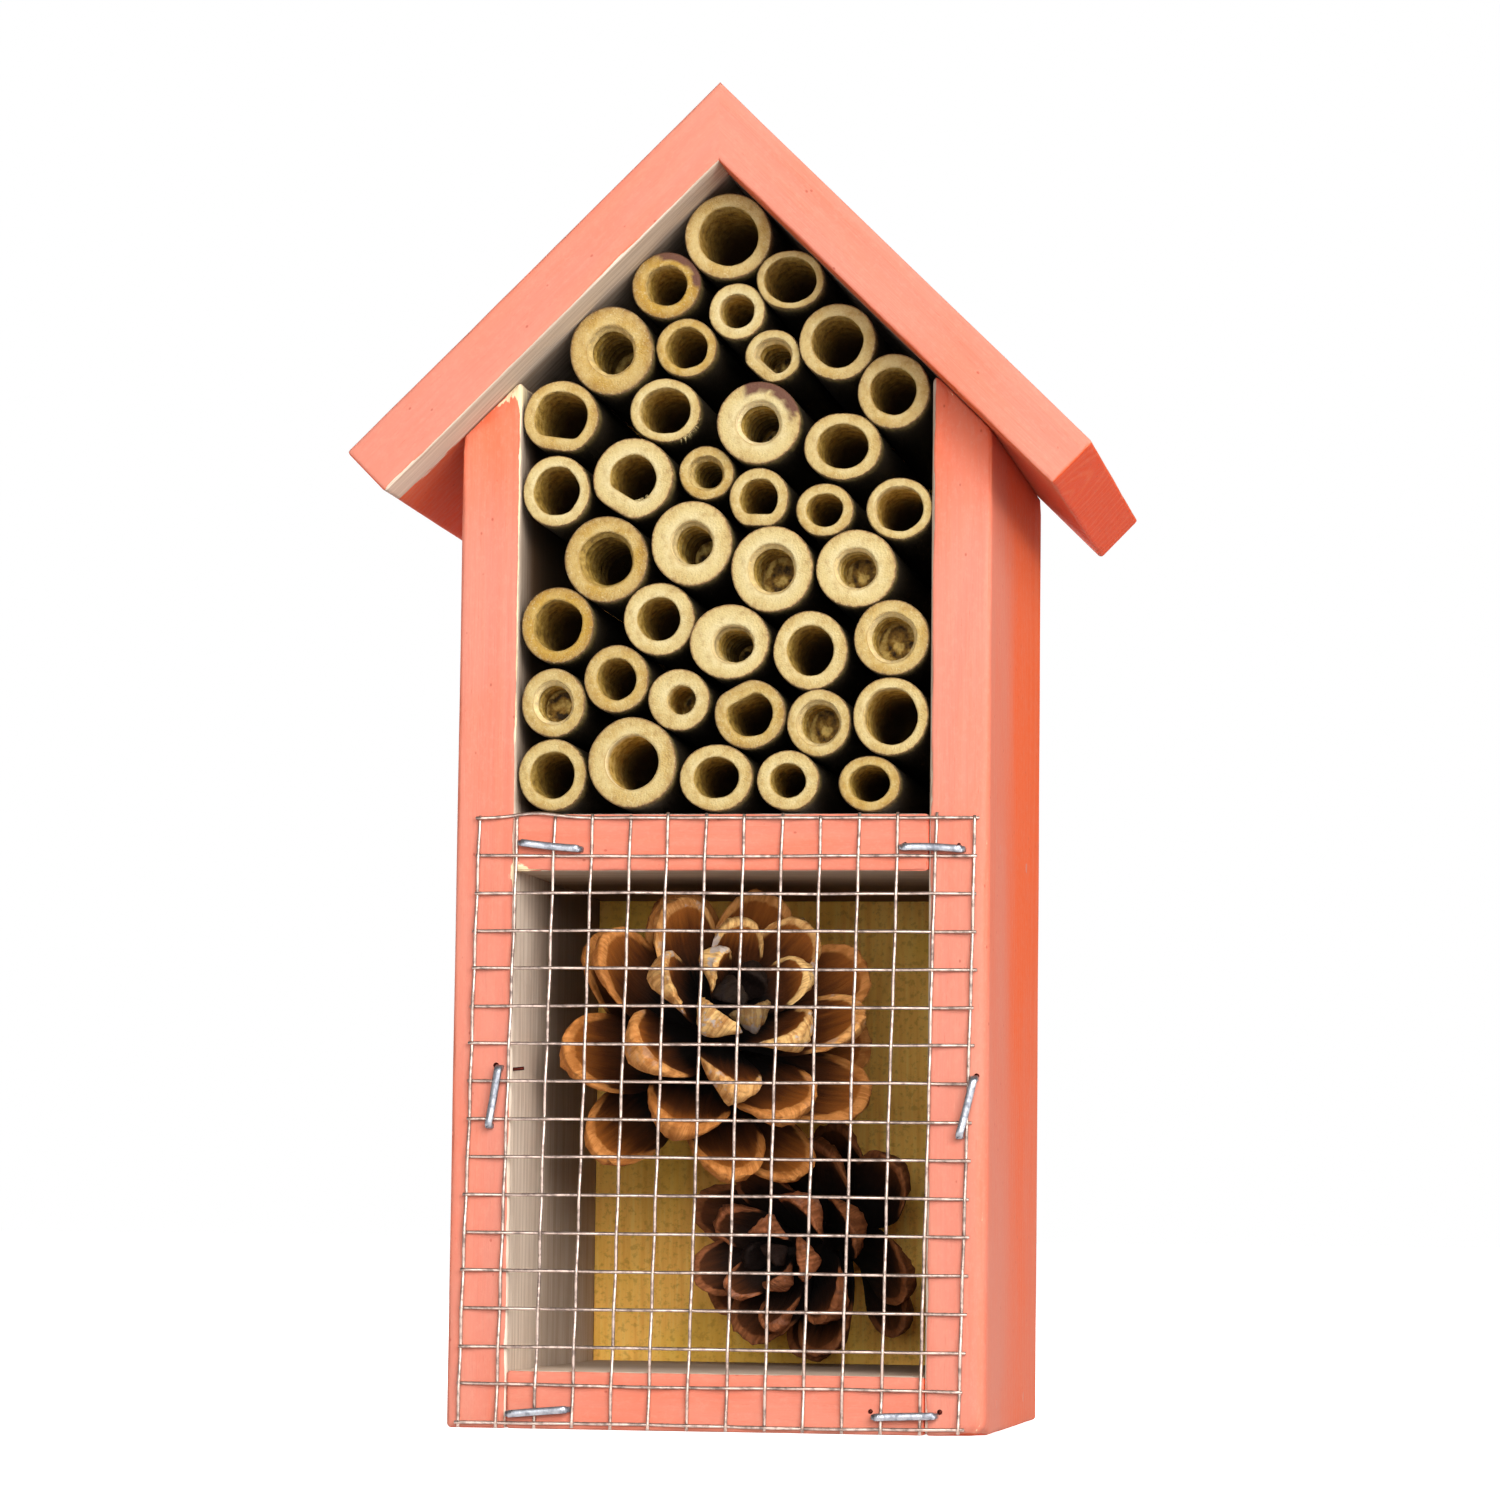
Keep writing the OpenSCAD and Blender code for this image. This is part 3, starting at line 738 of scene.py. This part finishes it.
# What is special about some canes, by number: how light the bore is, ribs in
# it, the angle of a flat in degrees and its share of the radius, the angle of
# torn fibres or of a stain, and how far the bore is off centre
LIGHT_BORES = {2: 0.3, 4: 0.4, 5: 0.5, 8: 1, 11: 0.3, 12: 1.3, 16: 0.4, 19: 0.7, 21: 1, 22: 0.7, 23: 0.9,
               26: 1, 28: 0.9, 29: 1, 31: 0.5, 33: 0.8, 34: 0.6, 36: 1.3}
DARK_BORE = 0.1
RIBBED = {5, 8, 12, 16, 20, 21, 22, 23, 26, 28, 29, 33}
FLATTENED = {8: (228, 0.72), 10: (262, 0.78), 15: (238, 0.8), 17: (268, 0.78), 32: (118, 0.74)}
FRAYED = {11: 325, 15: 285}
FRAYED_SKIN = {11}  # torn at the skin and not at the bore
STAINED = {2: 50, 12: 62}
SHIFTED = {26: (0.1, -0.06), 31: (0.08, 0)}


def cane_sizes(node):
    """Centre, radii and bore depth of a tube, read from its CAD mesh."""
    low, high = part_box(node)
    centre = Vector(((low.x + high.x) / 2, low.y, (low.z + high.z) / 2))
    outer = (high.x - low.x) / 2
    inner_points = []
    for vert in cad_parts[node].data.vertices:
        away = vert.co - centre
        reach = math.hypot(away.x, away.z)
        if 0.1 * outer < reach < 0.9 * outer:
            inner_points.append((vert.co.y - low.y, reach))
    bore = max(reach for _, reach in inner_points)
    depth = min(d for d, _ in inner_points if d > 1 * MM)
    return centre, outer, bore, depth, high.y - low.y


def cane_outline(number, seed, inside=False):
    """Radius at an angle, as a share of the plain radius."""
    squash = (WIDTHS[number - 1] - 1) / 2
    flat = FLATTENED.get(number)
    lobes, nicks = (0.05, 0.012) if inside else (0.022, 0.004)

    def share(angle):
        s = 1 + squash * math.cos(2 * angle)
        around = Vector((math.cos(angle), math.sin(angle), 0))
        s += lobes * noise.noise(around * 1.3 + Vector((seed, 0, 5.0 if inside else 0)))
        s += nicks * noise.noise(around * 7 + Vector((0, seed, 2.0)))
        if flat:
            toward = max(math.cos(angle - math.radians(flat[0])), 0.01)
            limit = flat[1] if inside else (0.6 + 0.4 * flat[1])
            s = -math.log(math.exp(-s * 25) + math.exp(-min(limit / toward, 3) * 25)) / 25
        return s
    return share


def cane(number):
    node = f"bamboo_tube_{number:02d}"
    centre, outer, bore, depth, length = cane_sizes(node)
    seed = 3.7 * (number - 1)
    rng = random.Random(number - 1)
    outside, inside = cane_outline(number, seed), cane_outline(number, seed, True)
    shift_x, shift_z = SHIFTED.get(number, (0, 0))
    slope = Vector((rng.uniform(-1, 1), rng.uniform(-1, 1))) * 0.25 * MM
    shape = Shape("wall", "skin", "bore", "plug", "furrow", "tone", "light", "stain")
    angles = [TURN * k / CANE_SIDES for k in range(CANE_SIDES)]
    tone = min(max(TONES[number - 1] + rng.uniform(-0.05, 0.05), 0), 1)
    light = LIGHT_BORES.get(number, DARK_BORE)

    def ring(reach, y, hole, rough=0.0, **masks):
        """One ring: reach is its plain radius, hole is 1 at the bore and 0 at the skin."""
        made = []
        for angle in angles:
            r = reach * (inside(angle) * hole + outside(angle) * (1 - hole))
            x = r * math.cos(angle) + shift_x * outer * hole
            z = r * math.sin(angle) + shift_z * outer * hole
            saw = (slope.x * x + slope.y * z) / outer
            at = Vector((x, y, z))
            fuzz = lump(at, 0.7, seed) * rough * MM
            stain = 0.0
            if number in STAINED and "wall" in masks:
                toward = math.cos(angle - math.radians(STAINED[number]))
                edge = 0.5 + 0.25 * noise.noise(at / (1.2 * MM))
                stain = smoothstep(edge, edge + 0.2, toward) * smoothstep(edge - 0.15, edge, masks["wall"])
            if y < 0.5 * MM:
                fuzz += saw
            made.append(shape.point(at + Vector((0, fuzz, 0)), tone=tone, light=light, stain=stain, **masks))
        return made

    rings = []
    waist = rng.uniform(0.25, 0.8) * length
    for y in [length * k / 9 for k in range(9, 0, -1)] + [4 * MM, 2 * MM, 1 * MM]:
        narrow = -0.25 * MM * math.exp(-((y - waist) / (2 * MM)) ** 2)
        # skin rises along the outside, where the shader darkens it as painted shade
        rings.append(ring(outer + narrow - 0.02 * MM, y, 0, skin=smoothstep(0, 6 * MM, y), wall=1))
    soft = 0.3 * MM
    rings.append(ring(outer - 0.03 * MM, soft, 0, skin=0.04, wall=1))
    rings.append(ring(outer - 0.08 * MM, soft * 0.45, 0, wall=1))
    rings.append(ring(outer - 0.18 * MM, soft * 0.12, 0, wall=0.97))
    thick = outer - bore
    for share in (0.12, 0.3, 0.5, 0.7, 0.88):
        rings.append(ring(outer - thick * share, 0, share, rough=0.09, wall=1 - share))
    rings.append(ring(bore + 0.05 * MM, 0.08 * MM, 1, wall=0.0))
    rings.append(ring(bore - 0.02 * MM, 0.3 * MM, 1, bore=0.06))
    step = 0.6 if number in RIBBED else 1.8
    deep_rows = [step * k for k in range(1, int(24 / step))] + [24, 28, 32, 42]
    for y in [d * MM for d in deep_rows if d * MM < depth - 1 * MM]:
        rib = furrow = 0.0
        if number in RIBBED:
            wave = math.sin(y / MM * 1.15 + 0.7 * math.sin(y / MM * 0.4 + seed) + seed) ** 2
            rib = 0.6 * MM * wave * smoothstep(0.5 * MM, 2 * MM, y)
            furrow = (1 - wave) * smoothstep(0.8 * MM, 2.5 * MM, y)
        # bore: painted shade, darker the deeper in
        rings.append(ring(bore - rib, y, 1, bore=smoothstep(0, 34 * MM, y) * 0.9 + 0.1, furrow=furrow))
    plug_shade = 0.0 if depth > 30 * MM else 1.0
    rings.append(ring(bore, depth - 0.6 * MM, 1, bore=1.0 - 0.6 * plug_shade))
    for share in (0.85, 0.6, 0.35):
        rings.append(ring(bore * share, depth - (0.4 + (1 - share)) * MM, 1, rough=1.1,
                          bore=1.0 - plug_shade, plug=plug_shade))
    for first, second in zip(rings, rings[1:]):
        shape.join(first, second)
    middle = shape.point((shift_x * outer, depth - 0.8 * MM, shift_z * outer),
                         tone=tone, bore=1 - plug_shade, plug=plug_shade)
    shape.cap(rings[-1], middle)
    rear = [ring(bore + thick * share, length, 1 - share, skin=1, wall=1) for share in (0.98, 0.5, 0.0)]
    shape.join(rear[0], rings[0])
    for first, second in zip(rear, rear[1:]):
        shape.join(second, first)
    hollow = ring(bore, length - 2 * MM, 1, bore=1)
    shape.join(hollow, rear[-1])
    shape.cap(hollow, shape.point((shift_x * outer, length - 2 * MM, shift_z * outer), bore=1))
    if number in FRAYED:
        reach = outer if number in FRAYED_SKIN else bore
        splinters(shape, reach, math.radians(FRAYED[number]), rng, tone)
    piece = show_shape(node, shape, BAMBOO, "bamboo", node)
    piece.matrix_world = Matrix.Translation(centre)


def splinters(shape, reach, toward, rng, tone):
    """Torn fibres along a stretch of a cut edge."""
    for _ in range(26):
        angle = toward + rng.uniform(-0.45, 0.45)
        root = Vector((math.cos(angle), 0, math.sin(angle))) * (reach - 0.2 * MM)
        lean = Vector((rng.uniform(-0.5, 0.5), rng.uniform(-0.5, 0.9), rng.uniform(-0.5, 0.3)))
        out = (Vector((math.cos(angle), 0.0, math.sin(angle))) + lean).normalized()
        side = out.cross(Vector((0, 1, 0.3))).normalized() * rng.uniform(0.05, 0.11) * MM
        long = rng.uniform(0.5, 1.5) * MM
        base = [shape.point(root + offset + Vector((0, 0.1 * MM, 0)), tone=tone, wall=0.5)
                for offset in (side, side.cross(out), -side)]
        tip = shape.point(root + out * long, tone=tone, wall=0.4)
        for k in range(3):
            shape.faces.append((base[k], base[(k + 1) % 3], tip))
        shape.faces.append((base[2], base[1], base[0]))


for cane_number in range(1, len(WIDTHS) + 1):
    cane(cane_number)


# ---------------------------------------------------------- pine cones

GOLDEN_ANGLE = math.radians(137.508)


def scale_outline(long, wide, count):
    """Half of a scale's edge, from the middle of its claw to the middle of its tip."""
    edge = []
    for k in range(count):
        s = k / (count - 1)
        u = smoothstep(0, 1, s) * 0.35 + s * 0.65
        if u < 0.55:
            f = u / 0.55
            edge.append((long * (0.03 + 0.6 * f), wide * (0.16 + 0.34 * smoothstep(0, 1, f))))
        else:
            a = (u - 0.55) / 0.45 * math.pi / 2
            edge.append((long * 0.63 + long * 0.37 * math.sin(a), wide * 0.5 * math.cos(a) ** 0.8))
    edge[0] = (0.0, 0.0)
    edge[-1] = (long, 0.0)
    return edge


def cone_scale(shape, place, long, wide, thick, young, shade, rng):
    """One scale: a spoon with a thick rounded lip. It lies along X from the
    core, its hollow side faces +Z, and it curls up towards the tip."""
    curl = rng.uniform(0.10, 0.20)
    twist = rng.uniform(-0.25, 0.25)
    cup = rng.uniform(0.75, 1.05)
    seed = rng.uniform(0, 50)
    half = scale_outline(long, wide, 21)
    outline = half[:-1] + [(x, -y) for x, y in reversed(half[1:])]
    shells = [0.0, 0.3, 0.55, 0.72, 0.84, 0.92, 0.975, 1.0]
    heart_low, heart_high = 0.1 * long, 0.66 * long
    rows = {1: [], -1: []}
    for side in (1, -1):
        for shell in shells:
            row = []
            for x0, y0 in outline:
                heart = min(max(x0, heart_low), heart_high)
                x = heart + (x0 - heart) * shell
                y = y0 * shell
                u, v = x / long, 2 * y / wide
                tip = smoothstep(0.45, 0.95, u)
                body = thick * (0.3 + 0.7 * smoothstep(0.6, 0.98, u))
                flat = math.sqrt(max(1 - shell ** 5, 0))
                z = curl * long * u ** 2.2 + twist * y * u
                hollow = 0.16 * v * v + 0.13 * max(u - 0.55, 0) / 0.45 * shell ** 2
                z += cup * wide * hollow * smoothstep(0.1, 0.6, u)
                z += 0.4 * MM * noise.noise(Vector((u * 3, v * 2, seed)))
                z += side * body * 0.5 * flat
                if side < 0:
                    z -= 0.5 * body * tip * math.exp(-(v * 1.8) ** 2) * flat
                rim = smoothstep(0.7, 0.93, shell) * smoothstep(0.5, 0.8, u)
                if side < 0:
                    rim = max(rim, smoothstep(0.62, 0.9, u))
                at = Vector((x, y, z))
                bumps = noise.noise(at / (1.6 * MM) + Vector((seed, 0, 0)))
                at += Vector((1, 1, 1)) * 0.4 * MM * bumps * rim
                at += Vector((-1, 0, 0.5)) * 0.5 * MM * noise.noise(at / (0.9 * MM)) * rim
                row.append(shape.point(place @ at, along=u, across=v, own=seed, rim=rim,
                                       young=young, shade=shade))
            rows[side].append(row)
        for first, second in zip(rows[side], rows[side][1:]):
            shape.join(first, second)
    shape.join(rows[1][-1], rows[-1][-1])


def cone_core(shape, place, radius, long):
    """The woody stem in the middle of a cone, darkened as painted shade."""
    rings = []
    for i in range(9):
        u = i / 8
        r = radius * (0.35 + 0.65 * math.sin(math.pi * (0.12 + 0.75 * u)))
        ring = []
        for k in range(20):
            angle = TURN * k / 20
            at = Vector((math.cos(angle) * r, math.sin(angle) * r, -long * u))
            at *= 1 + 0.08 * noise.noise(at / (2 * MM))
            ring.append(shape.point(place @ at, along=0.0, shade=0.8))
        rings.append(ring)
    for first, second in zip(rings, rings[1:]):
        shape.join(first, second)
    shape.cap(rings[0], shape.point(place @ Vector((0, 0, 0.6 * MM)), along=0.0, shade=0.8), True)
    shape.cap(rings[-1], shape.point(place @ Vector((0, 0, -long - 0.5 * MM)), shade=0.8))


def pine_cone(node, share, aim, radius, count, turn, hand, oval, broad, material, seed):
    """An open cone with the same spiral of scales as its CAD node. share is
    where its tip lies in the node's box, aim its tilt and swing in degrees,
    radius its widest, turn where the spiral starts, in degrees, hand the way
    round it runs, oval how far it is from round, and broad how wide the widest
    scales are as a share of radius."""
    rng = random.Random(seed)
    shape = Shape("along", "across", "own", "rim", "young", "shade")
    tilt, swing = (math.radians(a) for a in aim)
    low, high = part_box(node)
    tip = Vector([a + (b - a) * s for a, b, s in zip(low, high, share)])
    place = Matrix.Translation(tip) @ Matrix.Rotation(swing, 4, "Z") @ Matrix.Rotation(tilt, 4, "X")
    cone_core(shape, place @ Matrix.Translation((0, 0, -0.3 * radius)), 0.16 * radius, 1.15 * radius)
    for i in range(count):
        t = i / (count - 1)
        angle = math.radians(turn) + i * hand * GOLDEN_ANGLE
        spread = math.radians(30 + 52 * t ** 0.75)
        reach = radius * (0.12 + 2.2 * t - 1.3 * t * t) / math.sin(spread)
        reach = max(reach, 0.3 * radius) * (1 + oval * math.cos(2 * angle)) * rng.uniform(1.0, 1.04)
        wide = radius * (0.24 + (broad - 0.24) * min(t * 2, 1)) * rng.uniform(0.94, 1.04)
        turned = Matrix.Rotation(angle + rng.uniform(-0.06, 0.06), 4, "Z")
        rooted = Matrix.Translation((0, 0, -radius * (0.3 + 1.1 * t)))
        leant = Matrix.Rotation(spread + math.radians(rng.uniform(-1, 5)) - math.pi / 2, 4, "Y")
        # Painted shade: near black on the scales in the middle of the tip, a little darker on the rear ones,
        # and some at random
        shade = 0.98 * smoothstep(0.1, 0.05, t) + 0.05 * smoothstep(0.6, 1.0, t) + rng.uniform(0, 0.15)
        cone_scale(shape, place @ turned @ rooted @ leant, reach, wide, 0.15 * radius,
                   1 - smoothstep(0.15, 0.6, t), shade, rng)
    show_shape(node, shape, material, "cone_scales", node)


pine_cone("pine_cone_large", (0.633, 0.203, 0.668), (67, 26), 26.5 * MM, 29, 197, -1, 0.06, 0.52,
          LARGE_CONE, 4)
pine_cone("pine_cone_small", (0.365, 0.166, 0.424), (100, -26), 21 * MM, 25, 30, 1, 0.06, 0.58,
          SMALL_CONE, 9)


# ------------------------------------------------------------ wire mesh

def sweep(shape, path, section, **masks):
    """A solid along a path. section is its outline, as offsets across the path
    and out of the front, or up where the path itself runs to the rear."""
    rings = []
    for k, at in enumerate(path):
        before, after = path[max(k - 1, 0)], path[min(k + 1, len(path) - 1)]
        along = (after - before).normalized()
        guide = Vector((0, -1, 0))
        if abs(along.dot(guide)) > 0.9:
            guide = Vector((0, 0, 1))
        across = along.cross(guide).normalized()
        out = across.cross(along).normalized()
        rings.append([shape.point(at + across * a + out * b, **masks) for a, b in section])
    for first, second in zip(rings, rings[1:]):
        shape.join(first, second)
    for ring, flip in ((rings[0], True), (rings[-1], False)):
        middle = sum((shape.points[p] for p in ring), Vector()) / len(ring)
        shape.cap(ring, shape.point(middle, **masks), flip)


def round_wire(radius):
    """The section of a round wire."""
    return [(radius * math.cos(TURN * k / 8), radius * math.sin(TURN * k / 8)) for k in range(8)]


def solids_of(node):
    """The points of each separate solid in a node, with points that meet joined."""
    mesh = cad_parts[node].data
    links = list(range(len(mesh.vertices)))

    def root(k):
        while links[k] != k:
            links[k] = links[links[k]]
            k = links[k]
        return k

    by_place = {}
    for vert in mesh.vertices:
        key = tuple(round(c / (0.002 * MM)) for c in vert.co)
        links[root(vert.index)] = root(by_place.setdefault(key, vert.index))
    for edge in mesh.edges:
        links[root(edge.vertices[0])] = root(edge.vertices[1])
    groups = {}
    for vert in mesh.vertices:
        groups.setdefault(root(vert.index), []).append(vert.co.copy())
    return list(groups.values())


def wire_ends(points, axis):
    """The middle of each end of a straight wire that runs along an axis."""
    ends = []
    for limit in (min(p[axis] for p in points), max(p[axis] for p in points)):
        near = [p for p in points if abs(p[axis] - limit) < 0.5 * MM]
        ends.append(sum(near, Vector()) / len(near))
    return ends


uprights = [wire_ends(points, 2) for points in solids_of("mesh_upright_wires")]
crosses = [wire_ends(points, 0) for points in solids_of("mesh_cross_wires")]
uprights.sort(key=lambda ends: ends[0].x)
crosses.sort(key=lambda ends: ends[0].z)
MESH_Y = (uprights[0][0].y + crosses[0][0].y) / 2
WEAVE_STEPS = 6  # points of a wire from one crossing to the next


def upright_x(index, z):
    """Where an upright wire runs at a height."""
    low, high = uprights[index]
    wander = 0.16 * MM * noise.noise(Vector((index * 3.1, z / (34 * MM), 0)))
    return low.x + (high.x - low.x) * (z - low.z) / (high.z - low.z) + wander


def cross_z(index, x):
    """How high a cross wire runs. The top one is bent up at the left."""
    low, high = crosses[index]
    wander = 0.18 * MM * noise.noise(Vector((x / (30 * MM), index * 2.7, 9)))
    if index == len(crosses) - 1:
        wander += 0.8 * MM * math.exp(-((x + 31 * MM) / (5 * MM)) ** 2)
    return low.z + wander


def weave(index, place):
    """Out of the wall or into it by one wire, alternating from wire to wire."""
    return math.cos(math.pi * (place + index)) * WIRE_R


def woven_wire(shape, start, end, pitch, place):
    """A wire that crosses others, pitch apart. place gives its point from how
    far along the axis it is, between start and end."""
    steps = int((end - start) / pitch * WEAVE_STEPS)
    sweep(shape, [place(start + (end - start) * k / steps) for k in range(steps + 1)], round_wire(WIRE_R))


def mesh_uprights():
    shape = Shape()
    lowest = crosses[0][0].z
    pitch = crosses[1][0].z - lowest
    rng = random.Random(5)
    for index, (low, high) in enumerate(uprights):
        bottom, top = low.z - rng.uniform(-0.3, 0.0) * MM, high.z - rng.uniform(0.0, 0.7) * MM
        woven_wire(shape, bottom, top, pitch, lambda z, i=index: Vector(
            (upright_x(i, z), MESH_Y + weave(i, (z - lowest) / pitch), z)))
    show_shape("mesh_upright_wires", shape, MESH_STEEL, "mesh_wire", "mesh_upright_wires")


def mesh_crosses():
    shape = Shape()
    pitch = uprights[1][0].x - uprights[0][0].x
    rng = random.Random(6)
    for index, (low, _) in enumerate(crosses):
        first = upright_x(0, low.z)
        start = first - rng.uniform(0.25, 0.6) * MM
        end = upright_x(len(uprights) - 1, low.z) + rng.uniform(0.3, 1.1) * MM
        woven_wire(shape, start, end, pitch, lambda x, i=index, first=first: Vector(
            (x, MESH_Y - weave(i, (x - first) / pitch), cross_z(i, x))))
    show_shape("mesh_cross_wires", shape, MESH_STEEL, "mesh_wire", "mesh_cross_wires")


mesh_uprights()
mesh_crosses()


# -------------------------------------------------------------- staples

# The width and thickness of a staple's wire
BAND, STAPLE_T = 1.2 * MM, 0.9 * MM


def staple_frames():
    """Centre, direction and width of each staple's crown, from its solid."""
    crowns = []
    for points in solids_of("mesh_staples"):
        front = min(p.y for p in points)
        face = [p for p in points if p.y < front + 0.1 * MM]
        middle = sum(face, Vector()) / len(face)
        far = max(face, key=lambda p: (p - middle).length)
        along = max(face, key=lambda p: (p - far).length) - far
        short = min((p for p in face if (p - far).length > 0.3 * MM), key=lambda p: (p - far).length) - far
        direction = along - short * (1 if along.dot(short) > 0 else -1)
        direction.y = 0
        crowns.append((Vector((middle.x, front, middle.z)), direction.normalized(), direction.length))
    return crowns


def rust_spots(shape, ends, rng):
    """Specks of rust that have run into the paint beside some of the legs."""
    for end in ends:
        if rng.random() < 0.6:
            spot = Vector((end.x + rng.uniform(-0.9, 0.9) * MM, FRONT_Y, end.z + rng.uniform(0.2, 0.9) * MM))
            sweep(shape, [spot + Vector((0, y, 0)) * MM for y in (-0.03, 0.1, 0.2)],
                  round_wire(rng.uniform(0.3, 0.5) * MM), rust=1.0)


def staple_path(middle, direction, width, rng):
    """The path from one leg's tip round the crown to the other's, and the two
    places where the legs go in."""
    deep = Vector((0, 1, 0))
    half = width / 2 - STAPLE_T / 2
    start = middle + deep * STAPLE_T / 2
    bend = 0.7 * MM

    def leg(side):
        drops = [(half, 7.0 * MM), (half, 3.0 * MM), (half, bend + 0.4 * MM)]
        for k in range(5):
            a = math.pi / 2 * k / 4
            drops.append((half - bend * (1 - math.cos(a)), bend * (1 - math.sin(a))))
        return [start + direction * side * out + deep * down for out, down in drops]

    bow = rng.uniform(-0.15, 0.15) * MM
    crown = []
    for k in range(1, 12):
        s = -1 + 2 * k / 12
        sag = deep * 0.12 * MM * math.cos(s * math.pi / 2) + Vector((0, 0, 1)) * bow * (1 - s * s)
        crown.append(start + direction * s * (half - bend) + sag)
    return leg(-1) + crown + leg(1)[::-1], (start - direction * half, start + direction * half)


def staples():
    shape = Shape("rust")
    rng = random.Random(8)
    soft = 0.16 * MM
    a, b = BAND / 2, STAPLE_T / 2
    section = [(a - soft, b), (-a + soft, b), (-a, b - soft), (-a, -b + soft),
               (-a + soft, -b), (a - soft, -b), (a, -b + soft), (a, b - soft)]
    for crown in staple_frames():
        path, ends = staple_path(*crown, rng)
        sweep(shape, path, section)
        rust_spots(shape, ends, rng)
    # The leg that comes through the inner face of the left side board, dark with
    # rust and as painted shade
    tip = Vector((-SIDE_X, FRONT_Y + 1.6 * MM, 58.8 * MM))
    sweep(shape, [tip + Vector((x, 0, 0.1 * x)) * MM for x in (-0.6, 0.4, 1.2, 1.8)],
          round_wire(0.3 * MM), rust=1.0)
    show_shape("mesh_staples", shape, STAPLE_STEEL, "staple_wire", "mesh_staples")


staples()


# ---------------------------------------------- nails, plate and screws

def keep_node(node, material, round_by):
    """Shows a CAD node as it is, with its own material and softened edges."""
    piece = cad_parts[node]
    piece.data.materials.clear()
    piece.data.materials.append(material)
    bevel = piece.modifiers.new("edges", "BEVEL")
    bevel.width = round_by * MM
    bevel.segments = 2
    bevel.limit_method = "ANGLE"


for painted_over in ("side_nails", "roof_nails", "ridge_pins"):
    keep_node(painted_over, PAINTED, 0.15)
for bright in ("back_panel_brads", "hanging_plate_screws"):
    keep_node(bright, NAIL_STEEL, 0.15)
keep_node("hanging_plate", PLATE_STEEL, 0.18)


# ------------------------------------------------------- floor and light

def make_floor():
    reach = 30.0
    mesh = bpy.data.meshes.new("floor")
    corners = [(x * reach, y * reach, cad_low.z) for x, y in ((-1, -1), (1, -1), (1, 1), (-1, 1))]
    mesh.from_pydata(corners, [], [(0, 1, 2, 3)])
    mesh.materials.append(floor_material())
    floor = bpy.data.objects.new("floor", mesh)
    floor.visible_diffuse = False
    bpy.context.scene.collection.objects.link(floor)


def make_light(name, place, size, power):
    """A square soft light that faces the middle of the house."""
    light = bpy.data.lights.new(name, "AREA")
    light.size = size
    light.energy = power
    lamp = bpy.data.objects.new(name, light)
    lamp.location = place
    target = Vector((0, 0, cad_high.z / 2))
    lamp.rotation_euler = (target - Vector(place)).to_track_quat("-Z", "Y").to_euler()
    bpy.context.scene.collection.objects.link(lamp)


def make_world():
    """White behind the house, and a softer light from all round that is
    stronger from below, where a white table throws it back."""
    world = bpy.data.worlds.new("studio")
    world.use_nodes = True
    n = Nodes(world.node_tree)
    height = n.node("SeparateXYZ", n.node("TexCoord").outputs["Generated"]).outputs["Z"]
    strength = n.node("MapRange", height, -0.3, 0.3, 0.44, 0.14).outputs["Result"]
    even = n.tree.nodes["Background"]
    n.fill(even.inputs["Color"], (255, 255, 255))
    n.fill(even.inputs["Strength"], strength)
    white = n.node("Background", (255, 255, 255))
    seen = n.node("LightPath").outputs["Is Camera Ray"]
    choose = n.node("MixShader", seen, even.outputs[0], white.outputs[0])
    n.fill(n.tree.nodes["World Output"].inputs["Surface"], choose.outputs[0])
    bpy.context.scene.world = world


make_floor()
make_world()
make_light("key", (0.62, -1.05, 0.55), 0.8, 19.0)
make_light("fill", (0.0, -1.2, 0.25), 0.5, 6.5)
make_light("side", (1.3, -0.35, 0.2), 0.6, 7.4)
make_light("back", (-0.9, 1.1, 0.5), 0.8, 19.0)
bpy.context.scene.view_settings.view_transform = "Standard"
